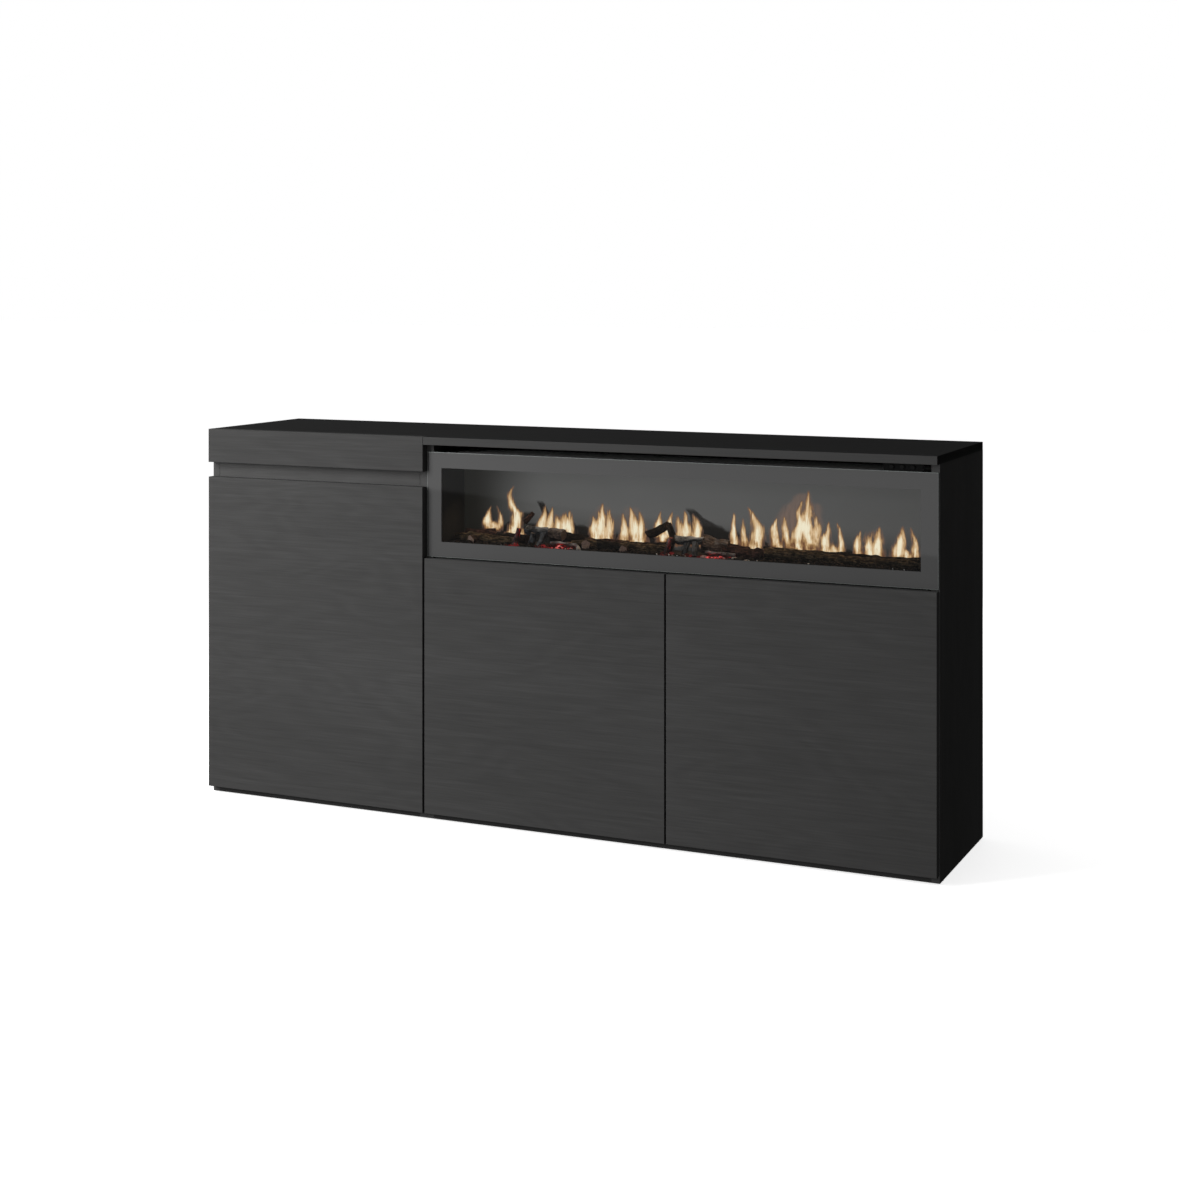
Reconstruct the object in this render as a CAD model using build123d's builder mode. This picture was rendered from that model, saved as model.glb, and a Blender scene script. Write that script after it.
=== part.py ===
"""Sideboard with a built-in electric fireplace.

Two chipboard modules stand side by side under one top: a narrow one with a single door under a
finger groove, and a wide one that carries the fireplace insert over two doors.  +X is the viewer's
right, +Y runs to the back, +Z is up, and the origin is on the floor at the middle of the footprint.
All lengths are in millimetres.
"""

import os
from math import cos, radians, sin

from build123d import *

os.makedirs("parts", exist_ok=True)

# ---------------------------------------------------------------- driving dimensions
WIDTH, DEPTH, HEIGHT = 1600.0, 355.0, 786.0
BOARD = 16.0  # melamine board, doors included
FRONT_GAP = 3.0  # air between a closed door and the carcass
GLIDE = 2.0  # floor glides under the side panels
EDGE = 0.8  # rounding of the visible board edges
JOINT_GAP = 0.7  # play where boards meet end to end in the front face
LEFT_MODULE = 528.0
DOOR_BOTTOM = 16.0
LEFT_DOOR_TOP = 683.0
FASCIA_BOTTOM = 714.5
LOW_DOOR_TOP = 537.5
DECK_TOP = 536.0
BACK_BOARD, BACK_INSET, BACK_GROOVE = 3.0, 10.0, 5.0

LEFT, RIGHT = -WIDTH / 2, WIDTH / 2
FRONT, BACK = -DEPTH / 2, DEPTH / 2
CARCASS_FRONT = FRONT + BOARD + FRONT_GAP
TOP_UNDER = HEIGHT - BOARD
SEAM = LEFT + LEFT_MODULE
FLOOR_TOP = GLIDE + BOARD

# doors: hinge side, limits along X, top edge
DOORS = {
    "left": {"x": (LEFT + 0.5, SEAM), "top": LEFT_DOOR_TOP, "side": 1},
    "middle": {"x": (SEAM + 4.5, 262.75), "top": LOW_DOOR_TOP, "side": 1},
    "right": {"x": (266.25, RIGHT - 1.0), "top": LOW_DOOR_TOP, "side": -1},
}
DIVIDER_X = (264.5 - BOARD / 2, 264.5 + BOARD / 2)

# compartment limits along X, between the upright boards
LEFT_BAY = (LEFT + BOARD, SEAM - BOARD)
WIDE_BAY = (SEAM + BOARD, RIGHT - BOARD)
MIDDLE_BAY = (WIDE_BAY[0], DIVIDER_X[0])
RIGHT_BAY = (DIVIDER_X[1], WIDE_BAY[1])
DECK_UNDER = DECK_TOP - BOARD


# ---------------------------------------------------------------- helpers
def block(x, y, z, mode=Mode.ADD):
    """A box between two limits on each axis, in the part being built."""
    with Locations(((x[0] + x[1]) / 2, (y[0] + y[1]) / 2, (z[0] + z[1]) / 2)):
        Box(x[1] - x[0], y[1] - y[0], z[1] - z[0], mode=mode)


def rod(start, axis, radius, length, mode=Mode.ADD):
    """A cylinder from a start point along an axis, in the part being built."""
    with Locations(Plane(origin=start, z_dir=axis).location):
        Cylinder(radius, length, align=(Align.CENTER, Align.CENTER, Align.MIN), mode=mode)


def save(part, name):
    """Labels a finished piece and writes its STEP file."""
    part.label = name
    export_step(part, f"parts/{name}.step")


# ---------------------------------------------------------------- shelf pins, cams and connectors
PIN_R, PIN_HOLE_R, PIN_HALF = 2.5, 2.6, 8.0
PIN_ROWS = (CARCASS_FRONT + 40, BACK - 60)
PIN_STEP = 32.0
LEFT_SHELF_Z, RIGHT_SHELF_Z = 345.0, 272.0
MIDDLE_SHELF_Z = RIGHT_SHELF_Z + PIN_STEP / 2  # staggered, so the divider's pin holes never meet

CAM_R, CAM_DEEP, CAM_SET = 7.5, 12.0, 34.0
CAM_BOLT_R, CAM_BOLT_IN = 3.0, 11.0
CAM_ROWS = (CARCASS_FRONT + 45, BACK - 50)

CONNECTOR_R, CONNECTOR_HEAD_R, CONNECTOR_HEAD = 4.0, 7.0, 1.5
CONNECTORS = [(y, z) for y in (-110.0, 110.0) for z in (60.0, 480.0)]


def pin_holes(face_x, into, shelf_z):
    """Rows of blind holes for shelf pins in an upright board; into is +1 or -1 along X."""
    for y in PIN_ROWS:
        for k in (-1, 0, 1):
            start = (face_x, y, shelf_z - PIN_R + k * PIN_STEP)
            rod(start, (into, 0, 0), PIN_HOLE_R, PIN_HALF + 0.5, mode=Mode.SUBTRACT)


def cam_bolt_holes(face_x, into, mid_z):
    """Blind holes for the cam bolts in an upright board."""
    for y in CAM_ROWS:
        rod((face_x, y, mid_z), (into, 0, 0), CAM_BOLT_R + 0.1, CAM_BOLT_IN + 0.5, mode=Mode.SUBTRACT)


def cam_bores(ends_x, mid_z, face_z, into):
    """Cam pockets in a level board's face, with the bolt bores that reach them from its ends."""
    for end, sign in zip(ends_x, (1, -1)):
        for y in CAM_ROWS:
            centre = end + sign * CAM_SET
            rod((centre, y, face_z), (0, 0, into), CAM_R + 0.1, CAM_DEEP + 0.2, mode=Mode.SUBTRACT)
            rod((end, y, mid_z), (sign, 0, 0), CAM_BOLT_R + 0.1, CAM_SET, mode=Mode.SUBTRACT)


def connector_holes(x):
    """Through holes for the bolts that join the two modules."""
    for y, z in CONNECTORS:
        rod((x, y, z), (1, 0, 0), CONNECTOR_R + 0.1, BOARD, mode=Mode.SUBTRACT)


def back_groove_upright(face_x, into, z):
    """The groove in an upright board that takes the back panel's edge."""
    x = sorted((face_x, face_x + into * BACK_GROOVE))
    block(x, (BACK - BACK_INSET - BACK_BOARD - 0.2, BACK - BACK_INSET + 0.2), z, mode=Mode.SUBTRACT)


# ---------------------------------------------------------------- concealed hinges
# u runs from the door's hinged edge inwards, v from the door's front face to the back.
AXIS_U = AXIS_V = 7.0
CUP_U, CUP_R, CUP_FLOOR_V, CUP_WALL = 20.5, 17.5, 3.4, 0.8
PIVOT_R, PIVOT_HALF = 1.25, 9.0
EYE_R, NOSE_HALF, ARM_HALF = 2.3, 4.0, 8.0
PLATE_FACE_U = 18.5  # where the mounting plate ends and the arm's body starts
HINGE_EDGE = 100.0  # hinge centre from the door's top and bottom edges
PLATE_V, PLATE_SCREW_Z = 56.0, 16.0
DOWEL_U, DOWEL_Z, DOWEL_R, DOWEL_DEEP = 30.0, 22.5, 4.0, 11.0  # the cup's press-in dowels
WALL_U = {"left": 15.5, "middle": 11.5, "right": 15.0}  # side panel's inner face


def hinge_edge(door):
    """The X of a door's hinged edge."""
    low, high = door["x"]
    return low if door["side"] == 1 else high


def hinge_heights(door):
    """The Z of the two hinges on a door."""
    return (DOOR_BOTTOM + HINGE_EDGE, door["top"] - HINGE_EDGE)


def hinge_point(door, u, v, z):
    """A point given from the door's hinged edge and front face."""
    return (hinge_edge(door) + door["side"] * u, FRONT + v, z)


def hinge_block(door, u, v, z, mode=Mode.ADD):
    """A box given from the door's hinged edge and front face."""
    x = sorted(hinge_edge(door) + door["side"] * value for value in u)
    block(x, (FRONT + v[0], FRONT + v[1]), z, mode=mode)


def hinge_holes(door):
    """Cup bores and dowel bores in a door."""
    for z in hinge_heights(door):
        start = hinge_point(door, CUP_U, CUP_FLOOR_V - 0.1, z)
        rod(start, (0, 1, 0), CUP_R + 0.1, BOARD, mode=Mode.SUBTRACT)
        for dz in (-DOWEL_Z, DOWEL_Z):
            start = hinge_point(door, DOWEL_U, BOARD - DOWEL_DEEP - 0.3, z + dz)
            rod(start, (0, 1, 0), DOWEL_R + 0.05, BOARD, mode=Mode.SUBTRACT)


def plate_screw_holes(door, name):
    """Pilots in the side panel for a hinge's mounting plate."""
    for z in hinge_heights(door):
        for dz in (-PLATE_SCREW_Z, PLATE_SCREW_Z):
            start = hinge_point(door, WALL_U[name], PLATE_V, z + dz)
            rod(start, (-door["side"], 0, 0), 2.1, 12.0, mode=Mode.SUBTRACT)


# ---------------------------------------------------------------- carcass
UPRIGHT_Z = (GLIDE, TOP_UNDER)
UPRIGHT_Y = (CARCASS_FRONT, BACK)
BOTTOM_MID_Z, DECK_MID_Z = GLIDE + BOARD / 2, DECK_TOP - BOARD / 2
FASCIA_X = (LEFT, SEAM + 0.5)

with BuildPart() as top_panel:
    block((LEFT, RIGHT), (FRONT, BACK), (TOP_UNDER, HEIGHT))
    fillet(top_panel.edges().filter_by(Axis.Y).group_by(Axis.Z)[-1], EDGE)
    fillet(top_panel.edges().filter_by(Axis.X).group_by(Axis.Z)[-1], EDGE)
    block((FASCIA_X[0] - 1, FASCIA_X[1] + JOINT_GAP), (FRONT - 1, CARCASS_FRONT), (TOP_UNDER - 1, HEIGHT + 1),
          mode=Mode.SUBTRACT)
save(top_panel.part, "top_panel")

with BuildPart() as fascia_board:
    block(FASCIA_X, (FRONT, CARCASS_FRONT), (FASCIA_BOTTOM, HEIGHT))
    fillet(fascia_board.faces().sort_by(Axis.Y)[0].edges(), EDGE)
save(fascia_board.part, "fascia_board")

with BuildPart() as left_side_panel:
    block((LEFT, LEFT + BOARD), UPRIGHT_Y, UPRIGHT_Z)
    back_groove_upright(LEFT + BOARD, -1, (GLIDE, TOP_UNDER))
    pin_holes(LEFT + BOARD, -1, LEFT_SHELF_Z)
    cam_bolt_holes(LEFT + BOARD, -1, BOTTOM_MID_Z)
    plate_screw_holes(DOORS["left"], "left")
save(left_side_panel.part, "left_side_panel")

with BuildPart() as inner_left_side_panel:
    block((SEAM - BOARD, SEAM), UPRIGHT_Y, UPRIGHT_Z)
    back_groove_upright(SEAM - BOARD, 1, (GLIDE, TOP_UNDER))
    pin_holes(SEAM - BOARD, 1, LEFT_SHELF_Z)
    cam_bolt_holes(SEAM - BOARD, 1, BOTTOM_MID_Z)
    connector_holes(SEAM - BOARD)
save(inner_left_side_panel.part, "inner_left_side_panel")

with BuildPart() as inner_right_side_panel:
    block((SEAM, SEAM + BOARD), UPRIGHT_Y, UPRIGHT_Z)
    back_groove_upright(SEAM + BOARD, -1, (GLIDE, TOP_UNDER))
    pin_holes(SEAM + BOARD, -1, MIDDLE_SHELF_Z)
    cam_bolt_holes(SEAM + BOARD, -1, BOTTOM_MID_Z)
    cam_bolt_holes(SEAM + BOARD, -1, DECK_MID_Z)
    connector_holes(SEAM)
    plate_screw_holes(DOORS["middle"], "middle")
save(inner_right_side_panel.part, "inner_right_side_panel")

with BuildPart() as right_side_panel:
    block((RIGHT - BOARD, RIGHT), UPRIGHT_Y, UPRIGHT_Z)
    back_groove_upright(RIGHT - BOARD, 1, (GLIDE, TOP_UNDER))
    pin_holes(RIGHT - BOARD, 1, RIGHT_SHELF_Z)
    cam_bolt_holes(RIGHT - BOARD, 1, BOTTOM_MID_Z)
    cam_bolt_holes(RIGHT - BOARD, 1, DECK_MID_Z)
    plate_screw_holes(DOORS["right"], "right")
save(right_side_panel.part, "right_side_panel")

# level boards stop short of the back panel
LEVEL_Y = (CARCASS_FRONT, BACK - BACK_INSET - BACK_BOARD - 0.4)

for name, bay in (("left_bottom_panel", LEFT_BAY), ("right_bottom_panel", WIDE_BAY)):
    with BuildPart() as bottom_panel:
        block(bay, LEVEL_Y, (GLIDE, FLOOR_TOP))
        cam_bores(bay, BOTTOM_MID_Z, FLOOR_TOP, -1)
    save(bottom_panel.part, name)

with BuildPart() as fireplace_deck:
    block(WIDE_BAY, LEVEL_Y, (DECK_UNDER, DECK_TOP))
    cam_bores(WIDE_BAY, DECK_MID_Z, DECK_UNDER, 1)
save(fireplace_deck.part, "fireplace_deck")

with BuildPart() as centre_divider:
    block(DIVIDER_X, LEVEL_Y, (FLOOR_TOP, DECK_UNDER))
    pin_holes(DIVIDER_X[0], 1, MIDDLE_SHELF_Z)
    pin_holes(DIVIDER_X[1], -1, RIGHT_SHELF_Z)
save(centre_divider.part, "centre_divider")

RAIL_Z = (LEFT_DOOR_TOP - 22, TOP_UNDER)
with BuildPart() as groove_rail:
    block((LEFT_BAY[0] + JOINT_GAP, LEFT_BAY[1] - JOINT_GAP), (CARCASS_FRONT, CARCASS_FRONT + BOARD), RAIL_Z)
save(groove_rail.part, "groove_rail")

# back panels sit in the uprights' grooves, from the floor glides to the top
BACK_Y = (BACK - BACK_INSET - BACK_BOARD, BACK - BACK_INSET)
BACK_Z = (GLIDE + 0.5, TOP_UNDER - 0.3)
SERVICE_X, SERVICE_Z = (500.0, 770.0), (560.0, 730.0)
VENT_X, VENT_Z = (100.0, 440.0), (645.0, 725.0)

with BuildPart() as left_back_panel:
    block((LEFT_BAY[0] - 4.5, LEFT_BAY[1] + 4.5), BACK_Y, BACK_Z)
save(left_back_panel.part, "left_back_panel")

with BuildPart() as right_back_panel:
    block((WIDE_BAY[0] - 4.5, WIDE_BAY[1] + 4.5), BACK_Y, BACK_Z)
    for cut_x, cut_z in ((SERVICE_X, SERVICE_Z), (VENT_X, VENT_Z)):
        block(cut_x, (BACK_Y[0] - 1, BACK_Y[1] + 1), cut_z, mode=Mode.SUBTRACT)
    cut_edges = right_back_panel.edges().filter_by(Axis.Y).filter_by_position(Axis.X, *WIDE_BAY)
    fillet(cut_edges, 8)
save(right_back_panel.part, "right_back_panel")

# shelves rest on their pins
SHELF_Y = (CARCASS_FRONT + 20, LEVEL_Y[1])
SHELVES = {
    "left_shelf": (LEFT_BAY, LEFT_SHELF_Z),
    "middle_shelf": (MIDDLE_BAY, MIDDLE_SHELF_Z),
    "right_shelf": (RIGHT_BAY, RIGHT_SHELF_Z),
}
for name, (bay, shelf_z) in SHELVES.items():
    with BuildPart() as shelf:
        block((bay[0] + 1, bay[1] - 1), SHELF_Y, (shelf_z, shelf_z + BOARD))
    save(shelf.part, name)

with BuildPart() as shelf_pins:
    for bay, shelf_z in SHELVES.values():
        for face_x, into in ((bay[0], 1), (bay[1], -1)):
            for y in PIN_ROWS:
                rod((face_x - into * PIN_HALF, y, shelf_z - PIN_R), (into, 0, 0), PIN_R, 2 * PIN_HALF)
save(shelf_pins.part, "shelf_pins")

with BuildPart() as cam_fittings:
    for bay, mid_z, face_z, into in (
        (LEFT_BAY, BOTTOM_MID_Z, FLOOR_TOP, -1),
        (WIDE_BAY, BOTTOM_MID_Z, FLOOR_TOP, -1),
        (WIDE_BAY, DECK_MID_Z, DECK_UNDER, 1),
    ):
        for end, sign in zip(bay, (1, -1)):
            for y in CAM_ROWS:
                rod((end + sign * CAM_SET, y, face_z), (0, 0, into), CAM_R, CAM_DEEP)
                bolt_start = (end - sign * CAM_BOLT_IN, y, mid_z)
                rod(bolt_start, (sign, 0, 0), CAM_BOLT_R, CAM_BOLT_IN + CAM_SET - CAM_R - 0.2)
save(cam_fittings.part, "cam_fittings")

with BuildPart() as module_bolts:
    for y, z in CONNECTORS:
        rod((SEAM - BOARD, y, z), (1, 0, 0), CONNECTOR_R, 2 * BOARD)
        rod((SEAM - BOARD - CONNECTOR_HEAD, y, z), (1, 0, 0), CONNECTOR_HEAD_R, CONNECTOR_HEAD)
        rod((SEAM + BOARD, y, z), (1, 0, 0), CONNECTOR_HEAD_R, CONNECTOR_HEAD)
save(module_bolts.part, "module_bolts")

GLIDE_R = 7.0
GLIDE_X = [LEFT + BOARD / 2, SEAM - BOARD / 2, SEAM + BOARD / 2, 264.5, RIGHT - BOARD / 2]
with BuildPart() as floor_glides:
    for x in GLIDE_X:
        for y in (CARCASS_FRONT + 30, BACK - 30):
            rod((x, y, 0), (0, 0, 1), GLIDE_R, GLIDE)
save(floor_glides.part, "floor_glides")

# ---------------------------------------------------------------- doors and their hinges
for name, door in DOORS.items():
    with BuildPart() as leaf:
        block(door["x"], (FRONT, FRONT + BOARD), (DOOR_BOTTOM, door["top"]))
        fillet(leaf.faces().sort_by(Axis.Y)[0].edges(), EDGE)
        hinge_holes(door)
    save(leaf.part, f"{name}_door")

FLANGE = 1.0
POCKET_HALF = NOSE_HALF + 0.5
for name, door in DOORS.items():
    with BuildPart() as cups:
        for z in hinge_heights(door):
            rod(hinge_point(door, CUP_U, CUP_FLOOR_V, z), (0, 1, 0), CUP_R, BOARD - CUP_FLOOR_V)
            flange_z = (z - DOWEL_Z - 5.5, z + DOWEL_Z + 5.5)
            hinge_block(door, (CUP_U - 5, DOWEL_U + 5.5), (BOARD, BOARD + FLANGE), flange_z)
            for dz in (-DOWEL_Z, DOWEL_Z):
                start = hinge_point(door, DOWEL_U, BOARD - DOWEL_DEEP, z + dz)
                rod(start, (0, 1, 0), DOWEL_R, DOWEL_DEEP)
                socket = hinge_point(door, DOWEL_U, BOARD + FLANGE - 1.5, z + dz)
                rod(socket, (0, 1, 0), 2.2, 3.0, mode=Mode.SUBTRACT)
            with BuildSketch(Plane(origin=hinge_point(door, CUP_U, CUP_FLOOR_V + CUP_WALL, z),
                                   x_dir=(1, 0, 0), z_dir=(0, 1, 0))):
                Circle(CUP_R - CUP_WALL)
                Rectangle(2 * CUP_R, 2 * POCKET_HALF, mode=Mode.INTERSECT)
            extrude(amount=BOARD, mode=Mode.SUBTRACT)
            rod(hinge_point(door, AXIS_U, AXIS_V, z - PIVOT_HALF), (0, 0, 1), PIVOT_R + 0.05,
                2 * PIVOT_HALF, mode=Mode.SUBTRACT)
    save(cups.part, f"{name}_hinge_cups")

NOSE_LOW_V, NOSE_HIGH_V = AXIS_V - EYE_R, AXIS_V + 0.7
LEG_U = (17.7, 22.0)
ARM_U, ARM_V = (PLATE_FACE_U, 28.0), (26.0, 84.0)
with BuildPart() as hinge_arms:
    for door in DOORS.values():
        for z in hinge_heights(door):
            nose_z = (z - NOSE_HALF, z + NOSE_HALF)
            rod(hinge_point(door, AXIS_U, AXIS_V, z - NOSE_HALF), (0, 0, 1), EYE_R, 2 * NOSE_HALF)
            hinge_block(door, (AXIS_U, LEG_U[1]), (NOSE_LOW_V, NOSE_HIGH_V), nose_z)
            hinge_block(door, LEG_U, (NOSE_LOW_V, ARM_V[0] + 2), nose_z)
            hinge_block(door, ARM_U, ARM_V, (z - ARM_HALF, z + ARM_HALF))
            hinge_block(door, (ARM_U[0] + 3, ARM_U[1] - 1.2), (ARM_V[0] + 14, ARM_V[1] - 6),
                        (z - ARM_HALF + 1.2, z + ARM_HALF - 1.2), mode=Mode.SUBTRACT)
            hinge_block(door, (ARM_U[1] - 2, ARM_U[1] + 1), (ARM_V[0] + 20, ARM_V[1] - 12), (z - 3, z + 3),
                        mode=Mode.SUBTRACT)
            rod(hinge_point(door, AXIS_U, AXIS_V, z - NOSE_HALF), (0, 0, 1), PIVOT_R, 2 * NOSE_HALF,
                mode=Mode.SUBTRACT)
save(hinge_arms.part, "hinge_arms")

with BuildPart() as hinge_pins:
    for door in DOORS.values():
        for z in hinge_heights(door):
            rod(hinge_point(door, AXIS_U, AXIS_V, z - PIVOT_HALF + 0.1), (0, 0, 1), PIVOT_R,
                2 * PIVOT_HALF - 0.2)
save(hinge_pins.part, "hinge_pins")

with BuildPart() as hinge_plates:
    for name, door in DOORS.items():
        for z in hinge_heights(door):
            wall = WALL_U[name]
            hinge_block(door, (wall, PLATE_FACE_U), (ARM_V[0] + 12, ARM_V[1]), (z - ARM_HALF, z + ARM_HALF))
            hinge_block(door, (wall, wall + 2.5), (PLATE_V - 8, PLATE_V + 8),
                        (z - PLATE_SCREW_Z - 7, z + PLATE_SCREW_Z + 7))
            for dz in (-PLATE_SCREW_Z, PLATE_SCREW_Z):
                rod(hinge_point(door, wall, PLATE_V, z + dz), (door["side"], 0, 0), 2.1, 2.5,
                    mode=Mode.SUBTRACT)
save(hinge_plates.part, "hinge_plates")

with BuildPart() as plate_screws:
    for name, door in DOORS.items():
        for z in hinge_heights(door):
            for dz in (-PLATE_SCREW_Z, PLATE_SCREW_Z):
                seat = WALL_U[name] + 2.5
                rod(hinge_point(door, seat - 13.0, PLATE_V, z + dz), (door["side"], 0, 0), 2.0, 13.0)
                with Locations(Plane(origin=hinge_point(door, seat, PLATE_V, z + dz),
                                     z_dir=(door["side"], 0, 0)).location):
                    Cone(4.0, 2.2, 1.8, align=(Align.CENTER, Align.CENTER, Align.MIN))
save(plate_screws.part, "plate_screws")

# ---------------------------------------------------------------- push latches for the two low doors
LATCH_X = {"middle": DIVIDER_X[0] - 14.0, "right": DIVIDER_X[1] + 14.0}
LATCH_Z, LATCH_HALF, LATCH_LENGTH = DECK_UNDER - 8.0, 7.5, 62.0
PLUNGER_R, PLUNGER_TRAVEL = 4.0, 2.5
LATCH_FRONT = CARCASS_FRONT + 3.0
PLUNGER_TIP = FRONT + BOARD + 0.3

with BuildPart() as latch_bodies:
    for x in LATCH_X.values():
        block((x - LATCH_HALF, x + LATCH_HALF), (LATCH_FRONT, LATCH_FRONT + LATCH_LENGTH),
              (LATCH_Z - LATCH_HALF, DECK_UNDER))
        rod((x, LATCH_FRONT, LATCH_Z), (0, 1, 0), PLUNGER_R + 0.1, 40.0, mode=Mode.SUBTRACT)
    fillet(latch_bodies.edges().filter_by(Axis.Y).group_by(Axis.Z)[0], 2)
save(latch_bodies.part, "latch_bodies")

for name, x in LATCH_X.items():
    with BuildPart() as plunger:
        rod((x, PLUNGER_TIP, LATCH_Z), (0, 1, 0), PLUNGER_R, LATCH_FRONT + 36.0 - PLUNGER_TIP)
        fillet(plunger.edges().filter_by(GeomType.CIRCLE).group_by(Axis.Y)[0], 1.2)
    save(plunger.part, f"{name}_latch_plunger")

# ---------------------------------------------------------------- fireplace: glass front
GLASS_X = (SEAM + 3.5, RIGHT - 1.5)
GLASS_Z = (540.0, 754.5)
WINDOW_X = (LEFT + 564.5, LEFT + 1565.5)
WINDOW_Z = (571.5, 722.5)
BEZEL_T, GLASS_T = 1.0, 4.0
BEZEL_Y = (CARCASS_FRONT - BEZEL_T, CARCASS_FRONT)
GLASS_Y = (BEZEL_Y[0] - GLASS_T, BEZEL_Y[0])

with BuildPart() as front_glass:
    block(GLASS_X, GLASS_Y, GLASS_Z)
    chamfer(front_glass.faces().sort_by(Axis.Y)[0].edges(), 0.7)
save(front_glass.part, "front_glass")

with BuildPart() as glass_bezel:
    block(GLASS_X, BEZEL_Y, GLASS_Z)
    block(WINDOW_X, (BEZEL_Y[0] - 1, BEZEL_Y[1] + 1), WINDOW_Z, mode=Mode.SUBTRACT)
save(glass_bezel.part, "glass_bezel")

# ---------------------------------------------------------------- fireplace: steel case
SHEET = 1.2
CASE_X = (WIDE_BAY[0] + 6, WIDE_BAY[1] - 6)
CASE_Y = (CARCASS_FRONT, CARCASS_FRONT + 150.5)
CASE_Z = (DECK_TOP, 751.0)
CASE_BACK = CASE_Y[1] - SHEET  # inner face of the rear wall
OUTLET_X, OUTLET_Y = (145.0, 415.0), (CASE_Y[0] + 8.5, CASE_Y[0] + 28.5)
REAR_VENTS_X, REAR_VENTS_Z = 278.0, 712.0
GLAND_X, GLAND_Z = 735.0, 640.0
SWITCH_X, SWITCH_Z = 690.0, 640.0
SWITCH_HALF = (9.5, 6.5)

with BuildPart() as fireplace_case:
    block(CASE_X, CASE_Y, CASE_Z)
    block((CASE_X[0] + SHEET, CASE_X[1] - SHEET), (CASE_Y[0] + SHEET, CASE_BACK),
          (CASE_Z[0] + SHEET, CASE_Z[1] - SHEET), mode=Mode.SUBTRACT)
    block((WINDOW_X[0] - 7, WINDOW_X[1] + 7), (CASE_Y[0] - 1, CASE_Y[0] + 5),
          (CASE_Z[0] + 14, CASE_Z[1] - 8), mode=Mode.SUBTRACT)
    block(OUTLET_X, OUTLET_Y, (CASE_Z[1] - 5, CASE_Z[1] + 5), mode=Mode.SUBTRACT)
    rear_vents = Plane(origin=(REAR_VENTS_X, CASE_BACK, REAR_VENTS_Z), x_dir=(1, 0, 0), z_dir=(0, -1, 0))
    with BuildSketch(rear_vents):
        with GridLocations(20, 1, 13, 1):
            SlotOverall(26, 6, rotation=90)
    extrude(amount=5, both=True, mode=Mode.SUBTRACT)
    rod((GLAND_X, CASE_BACK - 1, GLAND_Z), (0, 1, 0), 8.1, 5, mode=Mode.SUBTRACT)
    block((SWITCH_X - SWITCH_HALF[0] - 0.1, SWITCH_X + SWITCH_HALF[0] + 0.1), (CASE_BACK - 1, CASE_Y[1] + 1),
          (SWITCH_Z - SWITCH_HALF[1] - 0.1, SWITCH_Z + SWITCH_HALF[1] + 0.1), mode=Mode.SUBTRACT)
save(fireplace_case.part, "fireplace_case")

# ---------------------------------------------------------------- fireplace: firebox
LINER_X = (WINDOW_X[0] - 5.5, WINDOW_X[1] + 5.5)
LINER_Z = (CASE_Z[0] + SHEET, 727.0)
SCREEN_Y = (CASE_Y[0] + 103.5, CASE_Y[0] + 106.5)
FIREBOX_Y = (CASE_Y[0] + SHEET + 0.3, SCREEN_Y[0] - 0.3)

with BuildPart() as firebox_liner:
    block(LINER_X, FIREBOX_Y, LINER_Z)
    block((LINER_X[0] + 1, LINER_X[1] - 1), (FIREBOX_Y[0] - 1, FIREBOX_Y[1] + 1),
          (LINER_Z[0] - 1, LINER_Z[1] - 1), mode=Mode.SUBTRACT)
save(firebox_liner.part, "firebox_liner")

with BuildPart() as flame_screen:
    block(LINER_X, SCREEN_Y, LINER_Z)
save(flame_screen.part, "flame_screen")

TRAY_X = (LINER_X[0] + 1.3, LINER_X[1] - 1.3)
TRAY_Y = (FIREBOX_Y[0] + 0.5, FIREBOX_Y[1] - 0.5)
TRAY_TOP = 568.0
with BuildPart() as ember_tray:
    block(TRAY_X, TRAY_Y, (TRAY_TOP - 14, TRAY_TOP))
    block((TRAY_X[0] + 2, TRAY_X[1] - 2), (TRAY_Y[0] + 2, TRAY_Y[1] - 2), (TRAY_TOP - 15, TRAY_TOP - 2),
          mode=Mode.SUBTRACT)
    for x in (TRAY_X[0] + 4, 264.5, TRAY_X[1] - 4):
        for y in (TRAY_Y[0] + 6, TRAY_Y[1] - 6):
            rod((x, y, LINER_Z[0]), (0, 0, 1), 4, TRAY_TOP - 1 - LINER_Z[0])
save(ember_tray.part, "ember_tray")


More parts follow.
